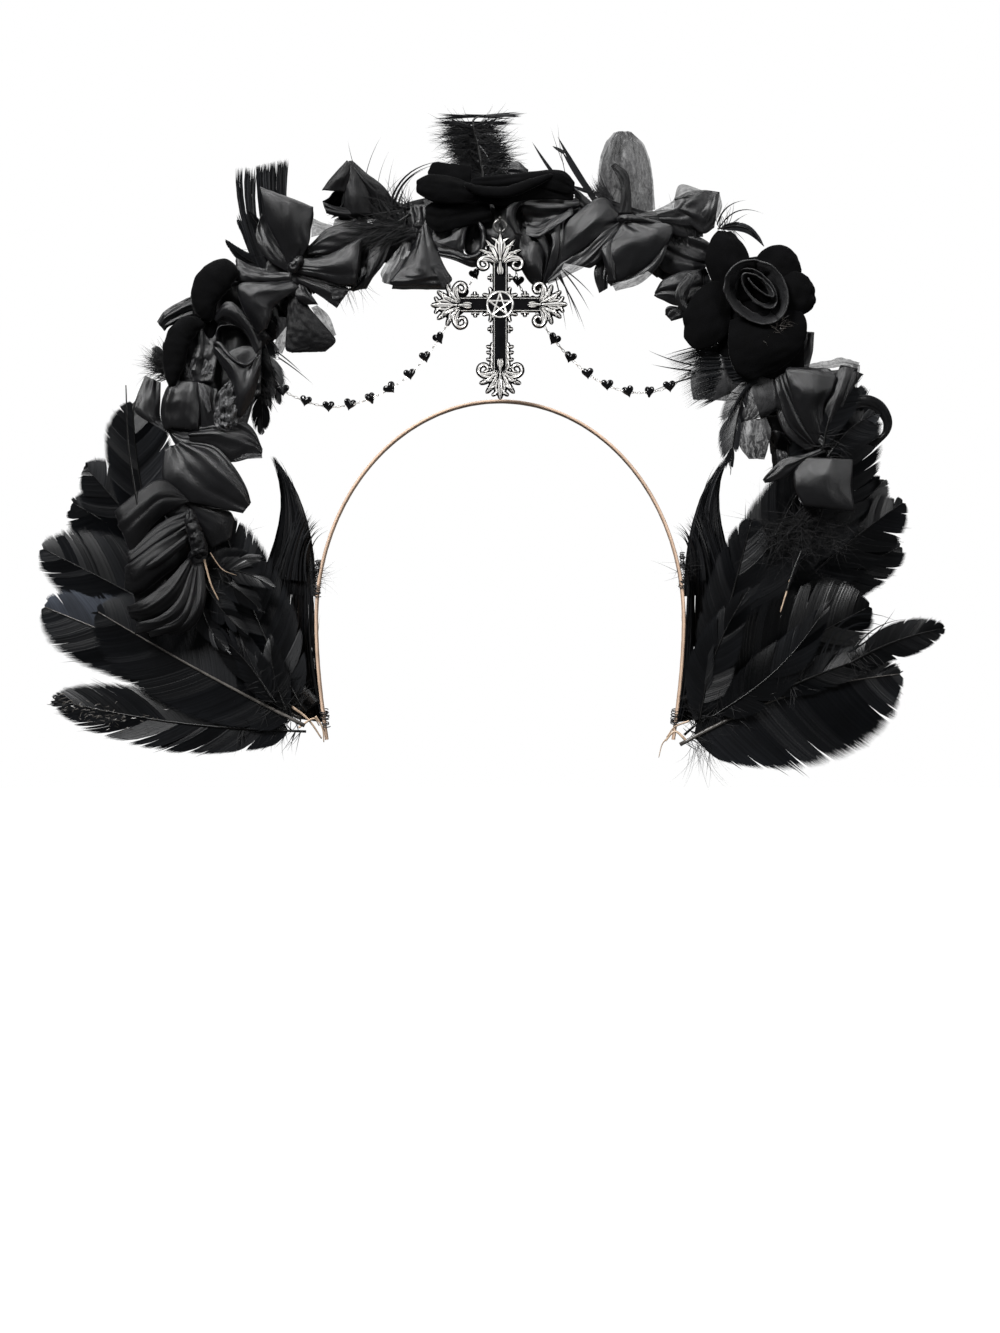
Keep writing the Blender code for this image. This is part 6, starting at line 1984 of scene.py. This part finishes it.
# %% Ruffles along the hoop
def ruffle_rows(start, end, inner, outer, depth, folds, seed, deep=86, wide=11):
    """A bunched ribbon over the hoop between two angles, in degrees and millimetres."""
    t = np.linspace(0, 1, deep)[:, None]
    v = np.linspace(0, 1, wide)[None, :]
    angle = np.radians(start + (end - start) * t) + 0.03 * np.sin(folds * 7 * t + 3 * v + seed)
    ends = np.sin(np.pi * np.clip(t, 0.03, 0.97)) ** 0.35
    reach = HOOP_RADIUS / MM + (inner + (outer - inner) * v) * ends
    wave = np.sin(2 * np.pi * folds * t + 2.2 * v + 0.8 * np.sin(5 * t + seed))
    x, z = reach * np.cos(angle), reach * np.sin(angle) + HOOP_CENTRE[2] / MM
    flat = np.stack([x, 0 * x, z], -1)
    y = 0.5 - depth * (0.5 + 0.5 * wave) * np.sin(np.pi * np.clip(v, 0.05, 0.95)) ** 0.5
    y = y + 1.2 * crease(flat * MM, 7 * MM, seed)
    return np.stack([x, y, z], -1) * MM


# start and end angle, inner and outer edge from the hoop's line, depth, folds
RUFFLES = [
    (152, 163, -8, 9, 5, 5), (133, 150, -6, 10, 6, 6), (114, 133, -9, 8, 6, 6),
    (98, 115, -10, 8, 6, 6), (68, 97, -13, 7, 7, 9), (47, 68, -8, 9, 6, 7),
    (26, 47, -7, 9, 6, 6), (10, 25, -6, 7, 5, 4), (163, 178, -5, 8, 5, 5),
]
ruffles = [cloth("ruffle", ruffle_rows(*row, 30 + n), dull_satin) for n, row in enumerate(RUFFLES)]
sew("bunched_ribbon", ruffles, 0.3)


# %% [markdown]
# ## Plume, brushes and stray hairs
# Marabou is down on a thin quill: hundreds of hairs that stand out sideways. Brushes are short
# feathers with their hooks stripped, so their barbs part. Loose bristles are single thick barbs.
# All of them grow from seeds by the same tree as the wings.

# %% The plume
PLUME = np.array([
    (-6.4, -1, 84), (-7.2, 1, 96), (-9.2, 2, 108), (-11.4, 2, 118), (-10.6, 2, 121.2), (-6.2, 1.5, 122.6)
]) * MM


def either_side(pick, rise=0.0):
    """Directions to the right where pick holds, and else to the left."""
    return np.where(pick, 1.0, -1.0)[:, None] * np.array([1.0, 0, rise])


rng = np.random.default_rng(77)
stem = smooth_line(PLUME, np.linspace(0, 5, 40))
parts = [tube("plume_quill", stem, np.linspace(0.9, 0.28, 40) * MM, quill_black)]
u = np.linspace(0.1, 3.0, 200)
along = smooth_line(PLUME, u)
lean = np.stack([0 * u, 0 * u, 0.2 - 0.09 * u], 1)
heads = unit(either_side(rng.random(200) < 0.5) + lean + rng.normal(0, 0.1, (200, 3)))
top = np.concatenate([np.linspace(3.1, 3.35, 16), np.linspace(4.3, 4.9, 24)])
top_heads = unit(either_side(np.arange(40) % 2 == 0, 0.02))
low_heads = unit(np.array([[0.9, -0.2, 0.25]]).repeat(30, 0))
# layer: places, headings, count, length, spread, width and curl; pieces, taper and finish
LAYERS = {
    "fluff": ((along, heads, 4600, 0.0145, 0.26, 0.00012, 0.3), 5, 2.0, down_black),
    "flat_top": (
        (smooth_line(PLUME, top), top_heads, 84, 0.0175, 0.035, 0.0003, 0.06), 5, 3.0, vane_black
    ),
    "outer_barbs": ((along, heads, 620, 0.0195, 0.28, 0.0002, 0.3), 6, 2.0, vane_black),
    "low_fluff": ((along[:30], low_heads, 420, 0.017, 0.35, 0.0001, 0.4), 5, 2.0, down_black),
}
for name, (hairs, *form) in LAYERS.items():
    parts.append(grow(name, wisps(rng, *hairs), *form))
dress(join_pieces("marabou_plume", parts), ["plume_top"])

# %% Clipped tuft, and the brush below the rose, which fans to the left
# lines of roots, middles and points, layer, count, shortening, share of strays
TUFT = [
    ((-93, 41, -87, 46), (-101.2, 72, -91.3, 74), (-104.5, 101.0, -91.2, 104.4), 10.5, 190, 0.06, 0.0),
    ((-94, 40, -91, 42), (-108.6, 72, -103, 73), (-112.6, 100.5, -104.5, 101), 10.5, 50, 0.1, 0.0),
    ((-95, 39, -91, 41), (-106, 62, -100, 64), (-112.5, 80, -107, 86), 9.5, 34, 0.3, 0.0),
]
BRUSH = [
    ((112, 22, 108, 6), (93, 25, 94, 5), (70, 20, 79, -3), -4.0, 200, 0.4, 0.1),
    ((112, 20, 110, 8), (100, 23, 98, 4), (80, 26, 82, -4), -5.0, 460, 0.5, 0.0),
    ((110, 14, 108, 6), (103, 6, 100, -2), (93, -8, 93, -22), -5.5, 60, 0.3, 0.2),
]


def stand_barbs(name, node, rows, seed, widths, swell, taper):
    barbs = []
    for number, row in enumerate(rows):
        seeds = stream(np.random.default_rng(seed + number), *row, widths)
        seeds["swell"] = seeds["swell"] * swell
        barbs.append(grow(name, seeds, 9, taper, vane_black))
    dress(join_pieces(name, barbs), [node])


stand_barbs("clipped_tuft", "feather_tuft_left", TUFT, 60, (0.22, 0.42), 0.3, 24.0)
stand_barbs("brush_barbs", "feather_brush_right", BRUSH, 66, (0.18, 0.36), 1.0, 4.0)

# %% Small feathers: name, base, tip, bow, left, right, fullness, bluntness, rag
SMALL_FEATHERS = [
    ("slim_leaves", (-99, 10, 60), (-112.3, 6, 78.5), -1.5, 4.0, 3.4, 0.45, 1.6, 0.4),
    ("slim_leaves", (-98, 9, 58), (-117.0, 5, 69.8), 2, 3.2, 3.0, 0.4, 1.5, 0.4),
    ("slim_leaves", (-96, 9, 60), (-107.0, 4, 82), -1, 3.4, 3.0, 0.45, 1.6, 0.4),
    ("hanging_feather", (105.5, -9.5, 11), (97.5, -9, -29), -1.5, 3.5, 8, 0.5, 1.7, 2.2),
    ("arch_feathers", (-104, -3, 34), (-94.5, -2, -0.5), 2, 5.5, 5.5, 0.5, 1.8, 2.4),
    ("arch_feathers", (-104, -2, 24), (-101, -1, -14), 1, 5, 6, 0.6, 1.8, 1.5),
    ("arch_feathers", (-38, -5, 80), (-72, -6, 67), 3, 6, 7, 0.6, 2.0, 1.8),
    ("arch_feathers", (-38, -4, 82), (-70, -3, 80), -3, 7, 6, 0.6, 2.0, 2.2),
    ("arch_feathers", (-40, -3, 78), (-52, -3, 60), 2, 7, 7, 0.6, 2.0, 2.0),
    ("arch_feathers", (-110, 5, 10), (-149, 2, 24), 2, 7, 7, 0.75, 2.0, 2.4),
    ("arch_feathers", (-110, 6, 16), (-144, -4, 14), -2, 8, 8, 0.7, 2.0, 2.0),
    ("arch_feathers", (64, -3, 66), (84, -4, 78), 2, 8, 8, 0.6, 2.0, 1.8),
    ("arch_feathers", (92, -3, 44), (74, -4, 66), 2, 8, 8, 0.6, 2.0, 1.6),
    ("arch_feathers", (118, -2, 20), (124, -3, 2), 2, 8, 8, 0.6, 2.0, 1.6),
    ("arch_feathers", (128, -1, -34), (148, 2, 10), 3, 12, 12, 0.62, 2.2, 1.4),
    ("arch_feathers", (122, -1, -36), (116, 0, 8), -3, 8, 9, 0.62, 2.0, 1.2),
    ("arch_feathers", (136, -15.5, -21), (151, -15, 13), 3, 7, 10, 0.6, 1.8, 2.2),
    ("arch_feathers", (138, -14, -24), (163, -11, -3), 3, 8, 9, 0.6, 1.8, 2.2),
    ("slim_leaves", (92, -9, 73), (111.8, -8, 65.8), 4.5, 2.0, 2.2, 0.45, 1.3, 0.3),
]
SMALL_LOOKS = {"hanging_feather": {"cover": 1.3, "pale": (1.3, 1.3)}, "arch_feathers": {"cover": 1.4}}
small = {}
for number, (name, *row) in enumerate(SMALL_FEATHERS):
    look = {"cup": 0.6, "quill_size": 0.4, "down": 0.4, **SMALL_LOOKS.get(name, {})}
    small.setdefault(name, []).append(feather(name, 300 + number, *row, **look))
for name, made in small.items():
    dress(join_pieces(name, made), [])

# %% Single bristles: root, tip, bend across, half width
BRANCHES = [
    ((31, -3, 87), (13.6, -2, 110.8), 1.5, 0.9), ((41, -4, 84.5), (24.4, -3, 113), 0.8, 1.25),
    ((37, -4, 90), (26, -3, 107.2), 0.5, 0.9), ((27.4, -4, 105.8), (22.2, -3, 108.8), 0, 0.8),
    ((39, -4, 89), (30, -3, 92.2), 0.5, 0.9),
]
BRISTLES = [
    ((28, -3.5, 96), (24.5, -3, 119), 1.2, 0.15), ((27, -3.5, 101), (21.5, -3, 117), 0.6, 0.15),
    ((24, -9, 55), (34, -9, 33), 1.5, 0.35), ((25, -9, 55), (31, -9, 36), 1.0, 0.3),
    ((26, -9, 56), (38, -9, 38), 1.6, 0.35), ((23, -9, 54), (28, -9, 30), 0.8, 0.3),
    ((27, -8, 56), (40, -8, 44), 1.4, 0.3), ((24, -8, 54), (36, -9, 30), 2.0, 0.3),
    ((-57, -3, 96), (-50.5, -2, 113), 1.5, 0.16), ((-61, -3, 98), (-64.5, -3, 111), 0.8, 0.16),
    ((-47.5, -3, 79), (-23, -3, 102.6), 14, 0.55), ((-46, -3, 79), (-25, -2, 101.4), 12, 0.45),
    ((-45, -3, 80), (-31, -2, 99.5), 8, 0.4), ((-44, -3, 78), (-34, -2, 99), 5, 0.2),
    ((-47, -3, 78), (-45, -2, 104), 3, 0.18), ((-50, -3, 80), (-40, -2, 97), 5, 0.2),
    ((-52, -3, 82), (-47, -2, 107), 4, 0.16), ((-64, -6, 74), (-46, -6, 86), 2, 0.3),
    ((-120, -16, -66), (-110, -16, -76), -2, 0.45), ((-117, -15, -70), (-98, -14, -84), 3, 0.3),
    ((92, -6, 75), (104.5, -6, 85.5), 6, 0.4), ((93, -6, 74), (112, -6, 79.5), 9, 0.35),
    ((136, -14, -110), (170, -11, -94), 24, 0.5), ((139, -14, -108), (165, -11, -96), 16, 0.5),
    ((142, -14, -107), (161, -12, -99), 9, 0.45), ((147, -14, -106), (167, -11, -87.5), -4, 0.4),
    ((150, -14, -104), (172, -11, -92), 6, 0.35), ((134, -14, -112), (158, -12, -95), 14, 0.4),
    ((-94, -5, 19), (-79, -5, 7.4), 0.8, 0.3), ((-94, -5, 21), (-84, -5, 12.5), 0.5, 0.3),
    ((86, -6, 15), (62.5, -6, 22), 2, 0.4), ((86, -6, 13), (64, -6, 16), 1, 0.45),
    ((84, -6, 11), (63, -6, 4), -1, 0.4),
]


def bristles(rows, taper):
    root, tip, bend, width = (np.array(column, float) * MM for column in zip(*rows))
    chord = tip - root
    across = unit(np.cross(chord, FORWARD)) * bend[:, None]
    flat = unit(np.cross(chord, [0, 1.0, 0.1])) * width[:, None]
    even = np.zeros(len(rows))
    seeds = {"root": root, "aim": chord + 2 * across, "bend": -2 * across, "curl": 0 * chord,
             "flat": flat, "swell": even, "tone": even + 1}
    return grow("bristles", seeds, 12, taper, vane_black)


# bunches: centre, size of the root patch, heading, how many, length, spread, width, curl
BUNCHES = [
    ((-47, -5, 80), (9, 3, 4), (-0.5, 0, 0.9), 160, 15, 0.35, 0.16, 0.4),
    ((-45, -6, 74), (9, 3, 4), (-1, -0.1, -0.35), 220, 24, 0.22, 0.2, 0.4),
    ((-66, -4, 60), (5, 2, 5), (0.3, 0, -1), 40, 22, 0.3, 0.12, 0.4),
    ((-140.5, 1, 15.5), (4, 2, 4), (-0.9, 0, 0.4), 420, 12, 0.4, 0.13, 0.5),
    ((-101, -2, 12), (3, 2, 8), (0.6, 0, -0.8), 110, 12, 0.25, 0.18, 0.3),
    ((78, -5, 68), (5, 2, 4), (-0.2, 0, 1), 200, 15, 0.3, 0.16, 0.4),
    ((45, -7, 86), (3, 2, 2), (-0.7, 0, 0.7), 120, 11, 0.25, 0.14, 0.3),
    ((-78, 0, -74), (1, 3, 4), (0.1, -0.3, 0), 70, 6, 0.9, 0.13, 2.4),
    ((78, 0, -70), (1, 3, 4), (0.1, -0.3, 0), 70, 6, 0.9, 0.13, 2.4),
    ((86, -3, -145), (9, 2, 4), (0.1, 0, -1), 44, 19, 0.3, 0.07, 0.5),
    ((-116, 8, -62), (3, 4, 5), (0.3, -0.5, 0), 60, 8, 0.9, 0.14, 2.2),
    ((128, -5, -52), (4, 2, 4), (0, -0.2, 0.2), 150, 12, 0.9, 0.16, 2.6),
    ((120, -3.5, -58), (10, 2, 10), (0, -0.3, 0), 260, 10, 0.9, 0.12, 2.8),
    ((140, -3.5, -56), (6, 2, 8), (0.2, -0.2, 0), 130, 10, 0.9, 0.12, 2.6),
    ((104, -4, 22), (8, 2, 6), (-0.4, 0, -0.9), 180, 16, 0.35, 0.14, 0.5),
]
FLATTER = 0.45
parts = [bristles(BRISTLES, 1.6), bristles(BRANCHES, 3.0)]
for number, (centre, patch, heading, count, length, spread, width, curl) in enumerate(BUNCHES):
    rng = np.random.default_rng(500 + number)
    places = (np.array(centre) + rng.normal(0, 0.5, (60, 3)) * np.array(patch)) * MM
    heads = unit(np.array([heading], float)).repeat(60, 0)
    seeds = wisps(rng, places, heads, count, length * MM, spread, width * MM, curl=curl)
    for key in ("aim", "bend", "curl"):
        seeds[key][:, 1] *= FLATTER
    parts.append(grow("bunch", seeds, 7, 2.0, down_black))
dress(join_pieces("loose_barbs", parts), [])
